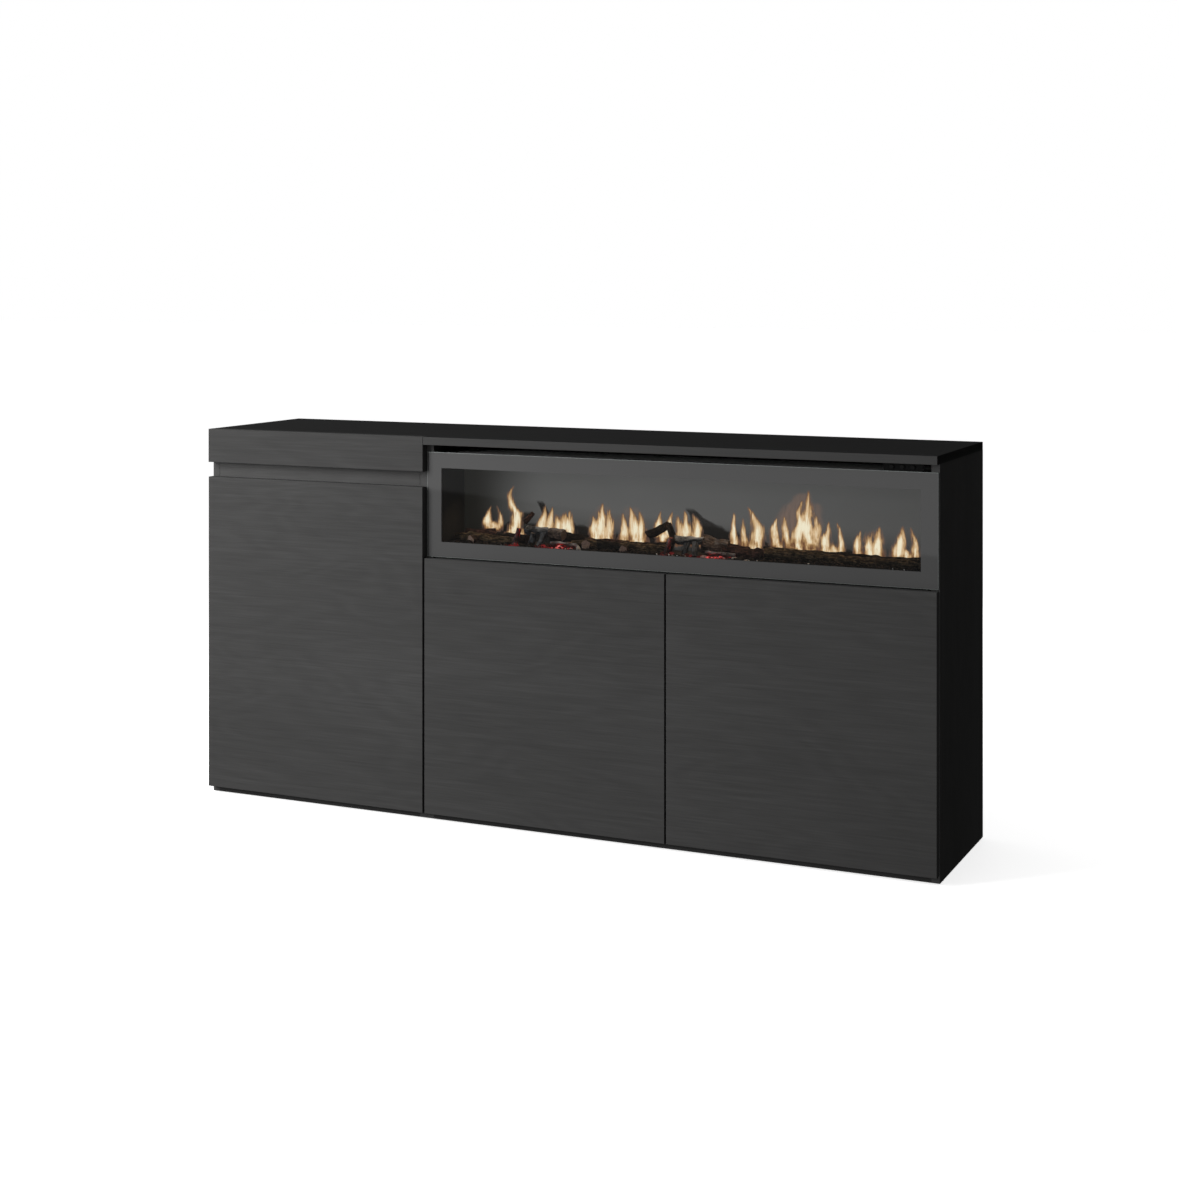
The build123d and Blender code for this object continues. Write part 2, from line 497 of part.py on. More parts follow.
# The logs are one casting: each entry is a round log from one cut end to the other.
LOGS = (
    # front row, lying on the tray
    ((-206, -126, 581), (-70, -120, 580), 12.0, 11.0),
    ((62, -122, 581), (142, -120, 581), 13.0, 12.0),
    ((140, -130, 579), (262, -124, 580), 11.0, 10.0),
    ((392, -122, 581), (562, -124, 581), 12.5, 11.5),
    ((556, -126, 580), (748, -120, 581), 11.5, 12.5),
    # rear row
    ((-215, -96, 583), (-150, -90, 586), 9.0, 8.0),
    ((-152, -92, 580), (-68, -94, 580), 11.0, 12.0),
    ((-24, -88, 589), (100, -84, 580), 11.0, 12.0),
    ((98, -90, 581), (244, -88, 582), 12.0, 13.0),
    ((440, -90, 582), (602, -92, 582), 13.0, 12.0),
    ((596, -90, 581), (745, -94, 581), 12.0, 11.0),
    # sticks that lean on the rows
    ((-46, -80, 650), (-8, -90, 596), 6.0, 7.0),
    ((-60, -80, 636), (-104, -92, 590), 5.5, 6.5),
    ((186, -92, 599), (238, -84, 626), 8.0, 7.0),
    ((226, -96, 629), (264, -90, 590), 6.5, 7.5),
    ((278, -84, 650), (452, -96, 590), 8.0, 14.0),
    # charred logs across the front, on short stubs
    ((-60, -116, 598), (4, -110, 597), 10.5, 10.0),
    ((-48, -128, 567), (-44, -120, 594), 7.0, 6.5),
    ((-18, -130, 567), (-16, -118, 594), 7.0, 6.5),
    ((268, -118, 596), (314, -112, 596), 10.5, 9.5),
    ((276, -128, 567), (280, -120, 592), 6.5, 6.0),
    ((303, -130, 567), (301, -118, 592), 6.5, 6.0),
    ((354, -90, 592), (316, -130, 589), 10.0, 11.0),
    ((350, -110, 582), (428, -106, 585), 9.0, 8.0),
    # glowing ends and billets
    ((0, -138, 576), (62, -131, 573), 7.5, 6.5),
    ((326, -138, 576), (394, -133, 573), 7.5, 6.5),
    ((-80, -134, 567), (-72, -128, 604), 6.0, 5.5),
    ((247, -134, 567), (255, -128, 604), 6.0, 5.5),
)
with BuildPart() as log_set:
    for start, end, start_radius, end_radius in LOGS:
        axis = Vector(*end) - Vector(*start)
        with Locations(Plane(origin=start, z_dir=axis).location):
            Cone(start_radius, end_radius, axis.length, align=(Align.CENTER, Align.CENTER, Align.MIN))
    block(TRAY_X, TRAY_Y, (TRAY_TOP - 20, TRAY_TOP), mode=Mode.SUBTRACT)
save(log_set.part, "log_set")

COAL_COUNT, COAL_STEP = 60, 16.3
COAL_Y = TRAY_Y[0] + 7.0
with BuildPart() as ember_coals:
    for k in range(COAL_COUNT):
        radius = 4.6 + 0.9 * sin(2.4 * k)
        x = 264.5 + (k - (COAL_COUNT - 1) / 2) * COAL_STEP + 1.5 * sin(1.7 * k)
        with Locations((x, COAL_Y + cos(3.1 * k), TRAY_TOP + 0.45 * radius)):
            Sphere(radius)
    block(TRAY_X, TRAY_Y, (TRAY_TOP - 20, TRAY_TOP), mode=Mode.SUBTRACT)
save(ember_coals.part, "ember_coals")

# ---------------------------------------------------------------- fireplace: lights and flame rotor
LED_PITCH = 32.0
LED_LENGTH = 930.0
FLOOR_Z = CASE_Z[0] + SHEET
with BuildPart() as led_boards:
    for y in (CASE_Y[0] + 52.0, CASE_Y[0] + 128.0):
        block((264.5 - LED_LENGTH / 2, 264.5 + LED_LENGTH / 2), (y - 6, y + 6), (FLOOR_Z, FLOOR_Z + 1.6))
        with Locations((264.5, y, FLOOR_Z + 2.3)):
            with GridLocations(LED_PITCH, 1, 28, 1):
                Box(5, 5, 1.4)
save(led_boards.part, "led_boards")

ROTOR_Y, ROTOR_Z = CASE_Y[0] + 128.0, 604.0
ROTOR_X = (-190.0, 700.0)
ROTOR_SHAFT_R, FLAG_REACH = 2.5, 13.0
FLAG_COUNT, FLAG_PITCH = 22, 38.0
with BuildPart() as flame_rotor:
    rod((ROTOR_X[0], ROTOR_Y, ROTOR_Z), (1, 0, 0), ROTOR_SHAFT_R, ROTOR_X[1] - ROTOR_X[0])
    for k in range(FLAG_COUNT):
        x = 250.0 + (k - (FLAG_COUNT - 1) / 2) * FLAG_PITCH
        with Locations(Location((x, ROTOR_Y, ROTOR_Z), (47.0 * k, 0, 0))):
            Box(24, 2 * FLAG_REACH, 0.6)
save(flame_rotor.part, "flame_rotor")

with BuildPart() as rotor_motor:
    rod((ROTOR_X[1] - 12, ROTOR_Y, ROTOR_Z), (1, 0, 0), 19.0, 26)
    block((ROTOR_X[1] - 8, ROTOR_X[1] - 6), (ROTOR_Y - 19, CASE_BACK), (ROTOR_Z - 26, ROTOR_Z + 26))
    rod((ROTOR_X[1] - 13, ROTOR_Y, ROTOR_Z), (1, 0, 0), ROTOR_SHAFT_R + 0.05, 14, mode=Mode.SUBTRACT)
save(rotor_motor.part, "rotor_motor")

with BuildPart() as rotor_bush:
    block((ROTOR_X[0] + 1, ROTOR_X[0] + 5), (ROTOR_Y - 8, CASE_BACK), (ROTOR_Z - 12, ROTOR_Z + 12))
    rod((ROTOR_X[0] - 3, ROTOR_Y, ROTOR_Z), (1, 0, 0), 5.5, 10)
    rod((ROTOR_X[0] - 4, ROTOR_Y, ROTOR_Z), (1, 0, 0), ROTOR_SHAFT_R + 0.05, 12, mode=Mode.SUBTRACT)
save(rotor_bush.part, "rotor_bush")

# ---------------------------------------------------------------- fireplace: heater and blower
DUCT_X = (140.0, 420.0)
BLOWER_Y, BLOWER_Z = CASE_Y[0] + 128.0, 727.0
WHEEL_R, WHEEL_X = 14.5, (148.0, 412.0)
DUCT_ROOF, DUCT_FLOOR = CASE_Z[1] - SHEET, LINER_Z[1] + 1.0
SCROLL_Y = (SCREEN_Y[1] + 1.0, CASE_BACK)
SCROLL_FLOOR = 708.0
TIN = 0.8

with BuildPart() as blower_housing:
    block(DUCT_X, (CASE_Y[0] + 5, SCROLL_Y[1]), (DUCT_FLOOR, DUCT_ROOF))
    block(DUCT_X, SCROLL_Y, (SCROLL_FLOOR, DUCT_ROOF))
    inner_x = (DUCT_X[0] + TIN, DUCT_X[1] - TIN)
    for duct_y, floor_z in ((CASE_Y[0] + 5, DUCT_FLOOR), (SCROLL_Y[0], SCROLL_FLOOR)):
        inner_y, inner_z = (duct_y + TIN, SCROLL_Y[1] - TIN), (floor_z + TIN, DUCT_ROOF - TIN)
        block(inner_x, inner_y, inner_z, mode=Mode.SUBTRACT)
    block(OUTLET_X, OUTLET_Y, (DUCT_ROOF - 5, DUCT_ROOF + 5), mode=Mode.SUBTRACT)
    intake_z = (SCROLL_FLOOR + 3, SCROLL_FLOOR + 18)
    block(OUTLET_X, (SCROLL_Y[1] - 5, SCROLL_Y[1] + 5), intake_z, mode=Mode.SUBTRACT)
    for x in (DUCT_X[0] - 1, DUCT_X[1] - 2):
        rod((x, BLOWER_Y, BLOWER_Z), (1, 0, 0), 2.05, 4, mode=Mode.SUBTRACT)
save(blower_housing.part, "blower_housing")

with BuildPart() as blower_wheel:
    rod((DUCT_X[0] - 4, BLOWER_Y, BLOWER_Z), (1, 0, 0), 2.0, DUCT_X[1] - DUCT_X[0] + 16)
    for x in (WHEEL_X[0], (WHEEL_X[0] + WHEEL_X[1]) / 2, WHEEL_X[1] - 1.5):
        rod((x, BLOWER_Y, BLOWER_Z), (1, 0, 0), WHEEL_R, 1.5)
    with BuildSketch(Plane(origin=(WHEEL_X[0], BLOWER_Y, BLOWER_Z), x_dir=(0, 1, 0), z_dir=(1, 0, 0))):
        with PolarLocations(WHEEL_R - 2.8, 18):
            Rectangle(5.0, 0.7, rotation=28)
    extrude(amount=WHEEL_X[1] - WHEEL_X[0])
save(blower_wheel.part, "blower_wheel")

with BuildPart() as blower_motor:
    rod((DUCT_X[1] + 2, BLOWER_Y, BLOWER_Z), (1, 0, 0), 17.0, 34)
    block((DUCT_X[1] + 0.2, DUCT_X[1] + 2), (BLOWER_Y - 17, BLOWER_Y + 17), (BLOWER_Z - 17, BLOWER_Z + 17))
    rod((DUCT_X[1] - 1, BLOWER_Y, BLOWER_Z), (1, 0, 0), 2.05, 16, mode=Mode.SUBTRACT)
save(blower_motor.part, "blower_motor")

HEATER_Y = CASE_Y[0] + 70.0
HEATER_Z = (DUCT_FLOOR + DUCT_ROOF) / 2
with BuildPart() as heating_element:
    for dz in (-6.0, 6.0):
        block((152, 408), (HEATER_Y - 7, HEATER_Y + 7), (HEATER_Z + dz - 1.5, HEATER_Z + dz + 1.5))
    with Locations((280, HEATER_Y, HEATER_Z)):
        with GridLocations(6.0, 1, 42, 1):
            Box(0.8, 12, 16)
    for x in (148.0, 408.0):
        block((x, x + 4), (HEATER_Y - 9, HEATER_Y + 9), (DUCT_FLOOR + TIN, DUCT_ROOF - TIN))
save(heating_element.part, "heating_element")

with BuildPart() as outlet_grille:
    rim_x, rim_y = (OUTLET_X[0] - 7, OUTLET_X[1] + 7), (OUTLET_Y[0] - 4, OUTLET_Y[1] + 4)
    block(rim_x, rim_y, (CASE_Z[1], CASE_Z[1] + 1.5))
    with BuildSketch(Plane.XY.offset(CASE_Z[1])):
        with Locations(((OUTLET_X[0] + OUTLET_X[1]) / 2, (OUTLET_Y[0] + OUTLET_Y[1]) / 2)):
            with GridLocations(9.0, 1, 29, 1):
                SlotOverall(18, 5, rotation=90)
    extrude(amount=3, mode=Mode.SUBTRACT)
save(outlet_grille.part, "outlet_grille")

# ---------------------------------------------------------------- fireplace: controls and supply
BUTTONS = {"power": 706.0, "flame": 726.0, "heat": 746.0}
BUTTON_R, BUTTON_TRAVEL = 4.4, 1.2
PANEL_Y = (CASE_Y[0] + 12.0, CASE_Y[0] + 14.0)
PANEL_Z = (CASE_Z[1], TOP_UNDER - 1.5)
BUTTON_Z = 761.0

with BuildPart() as control_panel:
    block((690, 766), PANEL_Y, PANEL_Z)
    block((690, 766), (PANEL_Y[0], PANEL_Y[0] + 16), (CASE_Z[1], CASE_Z[1] + 1.5))
    for x in BUTTONS.values():
        rod((x, PANEL_Y[0] - 1, BUTTON_Z), (0, 1, 0), BUTTON_R + 0.1, 4, mode=Mode.SUBTRACT)
save(control_panel.part, "control_panel")

for name, x in BUTTONS.items():
    with BuildPart() as button:
        rod((x, PANEL_Y[0] - 2.2, BUTTON_Z), (0, 1, 0), BUTTON_R, 5.0)
        rod((x, PANEL_Y[1] + 0.1, BUTTON_Z), (0, 1, 0), BUTTON_R + 1.0, 0.8)
        fillet(button.edges().filter_by(GeomType.CIRCLE).group_by(Axis.Y)[0], 0.8)
    save(button.part, f"{name}_button")

with BuildPart() as control_board:
    block((692, 764), (PANEL_Y[1] + 5.0, PANEL_Y[1] + 6.6), (CASE_Z[1] + 2.0, PANEL_Z[1]))
    for x in BUTTONS.values():
        block((x - 3, x + 3), (PANEL_Y[1] + 2.6, PANEL_Y[1] + 5.0), (BUTTON_Z - 3, BUTTON_Z + 3))
save(control_board.part, "control_board")

with BuildPart() as switch_housing:
    rim_x = (SWITCH_X - SWITCH_HALF[0] - 1.5, SWITCH_X + SWITCH_HALF[0] + 1.5)
    rim_z = (SWITCH_Z - SWITCH_HALF[1] - 1.5, SWITCH_Z + SWITCH_HALF[1] + 1.5)
    block(rim_x, (CASE_Y[1], CASE_Y[1] + 1.5), rim_z)
    block((SWITCH_X - SWITCH_HALF[0], SWITCH_X + SWITCH_HALF[0]), (CASE_Y[1] - 12, CASE_Y[1]),
          (SWITCH_Z - SWITCH_HALF[1], SWITCH_Z + SWITCH_HALF[1]))
    block((SWITCH_X - SWITCH_HALF[0] + 1.2, SWITCH_X + SWITCH_HALF[0] - 1.2), (CASE_Y[1] - 8, CASE_Y[1] + 3),
          (SWITCH_Z - SWITCH_HALF[1] + 1.2, SWITCH_Z + SWITCH_HALF[1] - 1.2), mode=Mode.SUBTRACT)
    rod((SWITCH_X, CASE_Y[1] - 3, SWITCH_Z - SWITCH_HALF[1] - 0.1), (0, 0, 1), 1.05, 2 * SWITCH_HALF[1] + 0.2,
        mode=Mode.SUBTRACT)
save(switch_housing.part, "switch_housing")

ROCKER_ANGLE = 9.0
with BuildPart() as power_rocker:
    rocker_z = (SWITCH_Z - SWITCH_HALF[1] + 1.5, SWITCH_Z + SWITCH_HALF[1] - 1.5)
    with BuildSketch(Plane.XY.offset(rocker_z[0])):
        with BuildLine():
            pivot = (SWITCH_X, CASE_Y[1] - 3.0)
            low, high = (-7.4, 2.8), (7.4, 2.8)
            tilt = radians(ROCKER_ANGLE)
            ends = [(pivot[0] + u * cos(tilt) - v * sin(tilt), pivot[1] + u * sin(tilt) + v * cos(tilt))
                    for u, v in (low, (low[0], 5.2), (0.0, 3.6), (high[0], 5.2), high, (0.0, -2.2))]
            Polyline(*ends, close=True)
        make_face()
    extrude(amount=rocker_z[1] - rocker_z[0])
    rod((SWITCH_X, CASE_Y[1] - 3, SWITCH_Z - SWITCH_HALF[1] + 0.2), (0, 0, 1), 1.0, 2 * SWITCH_HALF[1] - 0.4)
save(power_rocker.part, "power_rocker")

GLAND_BORE_R = 4.0
with BuildPart() as mains_gland:
    rod((GLAND_X, CASE_BACK - 8, GLAND_Z), (0, 1, 0), 8.0, 8 + SHEET)
    rod((GLAND_X, CASE_Y[1], GLAND_Z), (0, 1, 0), 11.0, 3)
    with Locations(Plane(origin=(GLAND_X, CASE_Y[1] + 3, GLAND_Z), z_dir=(0, 1, 0)).location):
        Cone(8.0, 6.0, 10, align=(Align.CENTER, Align.CENTER, Align.MIN))
    rod((GLAND_X, CASE_BACK - 9, GLAND_Z), (0, 1, 0), GLAND_BORE_R, 30, mode=Mode.SUBTRACT)
save(mains_gland.part, "mains_gland")

BOARD_Y = CASE_BACK - 7.0
with BuildPart() as power_board:
    block((560, 660), (BOARD_Y, BOARD_Y + 1.6), (648, 708))
    block((568, 596), (BOARD_Y - 20, BOARD_Y), (656, 684))
    block((602, 618), (BOARD_Y - 16, BOARD_Y), (656, 672))
    block((624, 652), (BOARD_Y - 12, BOARD_Y), (688, 702))
    for x in (606.0, 622.0, 638.0):
        rod((x, BOARD_Y, 680), (0, -1, 0), 5.0, 14)
    for x in (565.0, 655.0):
        for z in (653.0, 703.0):
            rod((x, BOARD_Y + 1.6, z), (0, 1, 0), 2.5, CASE_BACK - BOARD_Y - 1.6)
save(power_board.part, "power_board")
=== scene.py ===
"""Looks of the sideboard with a built-in electric fireplace.

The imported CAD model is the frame.  Its boards and fittings keep their shapes and get procedural
materials here; the glass, the logs, the embers and the flames are new pieces on the same places.
Metres, +X to the viewer's right, +Y to the back, +Z up.
"""

import math
import random

import bmesh
import bpy
from mathutils import Matrix, Vector, noise


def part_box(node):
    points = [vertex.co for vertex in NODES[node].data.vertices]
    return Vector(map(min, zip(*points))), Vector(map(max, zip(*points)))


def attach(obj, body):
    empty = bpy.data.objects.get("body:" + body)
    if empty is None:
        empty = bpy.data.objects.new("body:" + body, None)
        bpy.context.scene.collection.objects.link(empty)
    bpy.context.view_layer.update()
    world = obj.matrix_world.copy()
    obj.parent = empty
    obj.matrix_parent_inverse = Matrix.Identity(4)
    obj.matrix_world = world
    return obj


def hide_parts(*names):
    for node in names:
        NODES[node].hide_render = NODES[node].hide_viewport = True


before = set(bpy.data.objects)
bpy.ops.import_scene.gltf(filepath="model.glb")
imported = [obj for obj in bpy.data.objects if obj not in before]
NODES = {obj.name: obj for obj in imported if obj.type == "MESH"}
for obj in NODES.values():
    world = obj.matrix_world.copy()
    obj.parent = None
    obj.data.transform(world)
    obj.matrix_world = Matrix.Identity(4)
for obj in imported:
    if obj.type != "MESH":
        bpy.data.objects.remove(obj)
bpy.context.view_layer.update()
ROOT = "cabinet"


# ---------------------------------------------------------------- materials: the node helper
class Surface:
    """A Principled material whose inputs take plain values or the outputs of other nodes."""

    def __init__(self, name):
        self.material = bpy.data.materials.new(name)
        self.material.use_nodes = True
        self.tree = self.material.node_tree
        self.shader = self.tree.nodes["Principled BSDF"]
        self.output = self.tree.nodes["Material Output"]
        coordinates = self.node("ShaderNodeTexCoord")
        self.place = coordinates.outputs["Object"]
        self.normal = coordinates.outputs["Normal"]

    def feed(self, socket, value):
        """Links a node's output to a socket, or stores a plain value there."""
        if isinstance(value, bpy.types.NodeSocket):
            self.tree.links.new(value, socket)
        else:
            socket.default_value = value

    def node(self, kind, inputs=None, **settings):
        """Adds a node with its settings and inputs, the inputs by name or by number."""
        made = self.tree.nodes.new(kind)
        for key, value in settings.items():
            setattr(made, key, value)
        for key, value in (inputs or {}).items():
            self.feed(made.inputs[key], value)
        return made

    def math(self, operation, a, b=0.0, c=0.0, clamp=False):
        """One arithmetic step."""
        made = self.node("ShaderNodeMath", {0: a, 1: b, 2: c}, operation=operation, use_clamp=clamp)
        return made.outputs[0]

    def weighted(self, a, part, b):
        """A weighted mean: the given part of one value and the rest of another."""
        return self.math("MULTIPLY_ADD", a, part, self.math("MULTIPLY", b, 1 - part))

    def stored(self, key):
        """A value that the mesh carries at its vertices."""
        return self.node("ShaderNodeAttribute", attribute_name=key).outputs["Fac"]

    def stretch(self, scale, shift=(0.0, 0.0, 0.0)):
        """The place in the row frame, scaled along each axis."""
        inputs = {"Vector": self.place, "Scale": scale, "Location": shift}
        return self.node("ShaderNodeMapping", inputs).outputs[0]

    def noise(self, vector, scale=1.0, detail=3.0, roughness=0.5, distortion=0.0):
        """A noise value between 0 and 1."""
        inputs = {"Vector": vector, "Scale": scale, "Detail": detail, "Roughness": roughness}
        inputs["Distortion"] = distortion
        return self.node("ShaderNodeTexNoise", inputs).outputs[0]

    def remap(self, value, low, high, to_low=0.0, to_high=1.0):
        """A clamped change of range."""
        inputs = {"Value": value, "From Min": low, "From Max": high, "To Min": to_low, "To Max": to_high}
        return self.node("ShaderNodeMapRange", inputs).outputs[0]

    def soft_step(self, value, low, high, to_low):
        """A smooth rise to 1 between two values."""
        inputs = {"Value": value, "From Min": low, "From Max": high, "To Min": to_low, "To Max": 1.0}
        made = self.node("ShaderNodeMapRange", inputs, interpolation_type="SMOOTHSTEP")
        return made.outputs[0]

    def ramp(self, value, *stops):
        """A colour for a value, from (position, colour) stops."""
        made = self.node("ShaderNodeValToRGB", {0: value})
        elements = made.color_ramp.elements
        while len(elements) < len(stops):
            elements.new(0.5)
        for element, (position, colour) in zip(elements, stops):
            element.position = position
            element.color = (*colour, 1.0)
        return made.outputs[0]

    def mix(self, factor, a, b):
        """A blend of two colours."""
        made = self.node("ShaderNodeMix", {0: factor}, data_type="RGBA")
        self.feed(made.inputs[6], a if isinstance(a, bpy.types.NodeSocket) else (*a, 1.0))
        self.feed(made.inputs[7], b if isinstance(b, bpy.types.NodeSocket) else (*b, 1.0))
        return made.outputs[2]

    def facing(self, axis, low, high):
        """0 to 1 as the surface turns from low to high along one of the object's own axes."""
        split = self.node("ShaderNodeSeparateXYZ", {0: self.normal})
        return self.remap(split.outputs["XYZ".index(axis)], low, high)

    def bump(self, height, strength, distance):
        """Feeds a height to the shader's normal."""
        inputs = {"Height": height, "Strength": strength, "Distance": distance}
        self.feed(self.shader.inputs["Normal"], self.node("ShaderNodeBump", inputs).outputs[0])

    def finish(self, **sockets):
        """Sets the shader's own sockets, with _ for a space in their names, and returns the material."""
        for key, value in sockets.items():
            self.feed(self.shader.inputs[key.replace("_", " ")], value)
        return self.material


def grey(level, warmth=0.0):
    """A near-grey linear colour, a little warmer or cooler."""
    return (level * (1 + warmth), level, level * (1 - warmth))


# ---------------------------------------------------------------- materials: boards
def melamine(name, along, level, seed, lit_edge_level=None):
    """Black wood-grain melamine: fine fibres and soft arcs along one axis, pores, and front faces in a
    painted lighter level.
    """
    s = Surface(name)
    shift = (seed * 0.37, seed * 0.53, seed * 0.71)

    def along_grain(length, width):
        scale = [1.0 / width] * 3
        scale["XYZ".index(along)] = 1.0 / length
        return s.stretch(scale, shift)

    fibre = s.noise(along_grain(0.075, 0.0016), 1.0, 5.0, 0.60, 0.15)
    streak = s.noise(along_grain(0.30, 0.0065), 1.0, 4.0, 0.55, 0.35)
    field = s.noise(along_grain(0.55, 0.11), 1.0, 2.0, 0.45, 0.25)
    arcs = s.math("SINE", s.math("MULTIPLY_ADD", streak, 2.5, s.math("MULTIPLY", field, 75.0)))
    cloud = s.noise(along_grain(0.9, 0.25), 1.0, 2.0, 0.5)
    pores = s.remap(s.noise(along_grain(0.022, 0.0007), 1.0, 2.0, 0.5), 0.58, 0.72)
    tone = s.math("MULTIPLY", s.math("SUBTRACT", fibre, 0.5), 0.36)
    tone = s.math("MULTIPLY_ADD", s.math("SUBTRACT", streak, 0.5), 0.27, tone)
    tone = s.math("MULTIPLY_ADD", arcs, 0.024, tone)
    tone = s.math("MULTIPLY_ADD", s.math("SUBTRACT", cloud, 0.5), 0.30, tone)
    tone = s.math("MULTIPLY_ADD", pores, -0.07, tone)
    colour = s.ramp(s.math("ADD", tone, 0.5), (0.22, grey(level * 0.68, 0.012)), (0.5, grey(level, 0.010)),
                    (0.78, grey(level * 1.42, 0.004)))
    # painted light: faces that turn to the front take the lighter edge level, for the light that falls on
    # them
    if lit_edge_level is not None:
        lit_edge_band = s.ramp(fibre, (0.3, grey(lit_edge_level * 0.92, 0.008)), (0.7, grey(lit_edge_level * 1.08, 0.008)))
        colour = s.mix(s.facing("Y", -0.6, -0.8), colour, lit_edge_band)
    s.bump(s.math("MULTIPLY_ADD", pores, -0.7, fibre), 0.20, 0.00018)
    rough = s.remap(fibre, 0.2, 0.8, 0.50, 0.64)
    return s.finish(Base_Color=colour, Roughness=rough, Specular_IOR_Level=0.14)


def hardboard(name, level):
    """Thin dark back board, faintly mottled."""
    s = Surface(name)
    mottle = s.noise(s.place, 60.0, 6.0, 0.65)
    felt = s.noise(s.place, 900.0, 3.0, 0.6)
    colour = s.ramp(s.weighted(felt, 0.4, mottle),
                    (0.25, grey(level * 0.7, 0.06)), (0.75, grey(level * 1.35, 0.08)))
    s.bump(felt, 0.25, 0.0003)
    return s.finish(Base_Color=colour, Roughness=s.remap(mottle, 0.2, 0.8, 0.6, 0.78), Specular_IOR_Level=0.2)


# ---------------------------------------------------------------- materials: metals and plastics
def plated(name, colour, roughness, along="Z"):
    """Bare or plated metal with fine drawn lines and a soft cloudiness."""
    s = Surface(name)
    scale = [1600.0] * 3
    scale["XYZ".index(along)] = 30.0
    lines = s.noise(s.stretch(scale), 1.0, 3.0, 0.6)
    cloud = s.noise(s.place, 90.0, 3.0, 0.5)
    shade = s.ramp(s.weighted(cloud, 0.5, lines),
                   (0.3, tuple(c * 0.78 for c in colour)), (0.7, colour))
    s.bump(lines, 0.10, 0.00015)
    rough = s.remap(lines, 0.25, 0.75, roughness - 0.06, roughness + 0.08)
    return s.finish(Base_Color=shade, Roughness=rough, Metallic=1.0)


def coated(name, colour, roughness, grain=700.0, depth=0.00018, specular=0.4, top=None):
    """Painted, powder-coated or moulded surface with a fine texture, with an optional pale top that is
    painted light.
    """
    s = Surface(name)
    texture = s.noise(s.place, grain, 3.0, 0.6)
    cloud = s.noise(s.place, 14.0, 3.0, 0.5)
    shade = s.ramp(s.weighted(cloud, 0.6, texture),
                   (0.25, tuple(c * 0.82 for c in colour)), (0.75, tuple(c * 1.16 for c in colour)))
    # painted light: faces that turn up take the pale top colour, which stands in for light
    if top is not None:
        shade = s.mix(s.facing("Z", 0.7, 0.9), shade, top)
    s.bump(texture, 0.3, depth)
    rough = s.remap(texture, 0.25, 0.75, roughness - 0.05, roughness + 0.07)
    return s.finish(Base_Color=shade, Roughness=rough, Specular_IOR_Level=specular)


def circuit_board(name):
    """Green solder mask crossed by lighter copper tracks."""
    s = Surface(name)
    cells = s.node("ShaderNodeTexVoronoi", {"Vector": s.stretch((220.0, 220.0, 220.0)), "Scale": 1.0},
                   feature="DISTANCE_TO_EDGE", distance="MANHATTAN")
    tracks = s.remap(cells.outputs[0], 0.03, 0.07, 1.0, 0.0)
    colour = s.mix(tracks, (0.012, 0.085, 0.035), (0.035, 0.19, 0.075))
    s.bump(tracks, 0.2, 0.0001)
    return s.finish(Base_Color=colour, Roughness=s.remap(tracks, 0.0, 1.0, 0.42, 0.30))


# ---------------------------------------------------------------- materials: glass
def clear_glass(name):
    """The glass's clear window: what is behind it, and the reflection of its front face."""
    s = Surface(name)
    haze = s.noise(s.place, 3.0, 2.0, 0.5)
    tint = s.ramp(haze, (0.3, (0.955, 0.965, 0.96)), (0.7, (0.975, 0.98, 0.978)))
    clear = s.node("ShaderNodeBsdfTransparent", {"Color": tint})
    gloss = s.node("ShaderNodeBsdfGlossy", {"Color": (1.0, 1.0, 1.0, 1.0), "Roughness": 0.012})
    share = s.node("ShaderNodeFresnel", {"IOR": 1.50}).outputs[0]
    blend = s.node("ShaderNodeMixShader", {0: share, 1: clear.outputs[0], 2: gloss.outputs[0]})
    s.tree.links.new(blend.outputs[0], s.output.inputs["Surface"])
    return s.material


def printed_glass(name):
    """The glass's border: satin grey print seen through the same smooth face."""
    s = Surface(name)
    fine = s.noise(s.place, 1400.0, 3.0, 0.6)
    cloud = s.noise(s.place, 5.0, 3.0, 0.5)
    colour = s.ramp(s.weighted(cloud, 0.7, fine),
                    (0.3, grey(0.057, 0.004)), (0.7, grey(0.063, 0.004)))
    rough = s.remap(cloud, 0.3, 0.7, 0.010, 0.018)
    return s.finish(Base_Color=colour, Roughness=rough, IOR=1.80)


def passing_glass(name):
    """The glass's back face, which only lets light through."""
    s = Surface(name)
    haze = s.noise(s.place, 4.0, 2.0, 0.5)
    tint = s.ramp(haze, (0.3, (0.985, 0.988, 0.986)), (0.7, (0.995, 0.996, 0.995)))
    clear = s.node("ShaderNodeBsdfTransparent", {"Color": tint})
    s.tree.links.new(clear.outputs[0], s.output.inputs["Surface"])
    return s.material


def glass_edge(name):
    """The glass's ground and polished edge, grey-green, with its colour raised as a painted highlight along
    it.
    """
    s = Surface(name)
    fine = s.noise(s.place, 500.0, 3.0, 0.5)
    colour = s.ramp(fine, (0.3, (0.15, 0.165, 0.16)), (0.7, (0.23, 0.25, 0.24)))
    return s.finish(Base_Color=colour, Roughness=s.remap(fine, 0.2, 0.8, 0.22, 0.34))


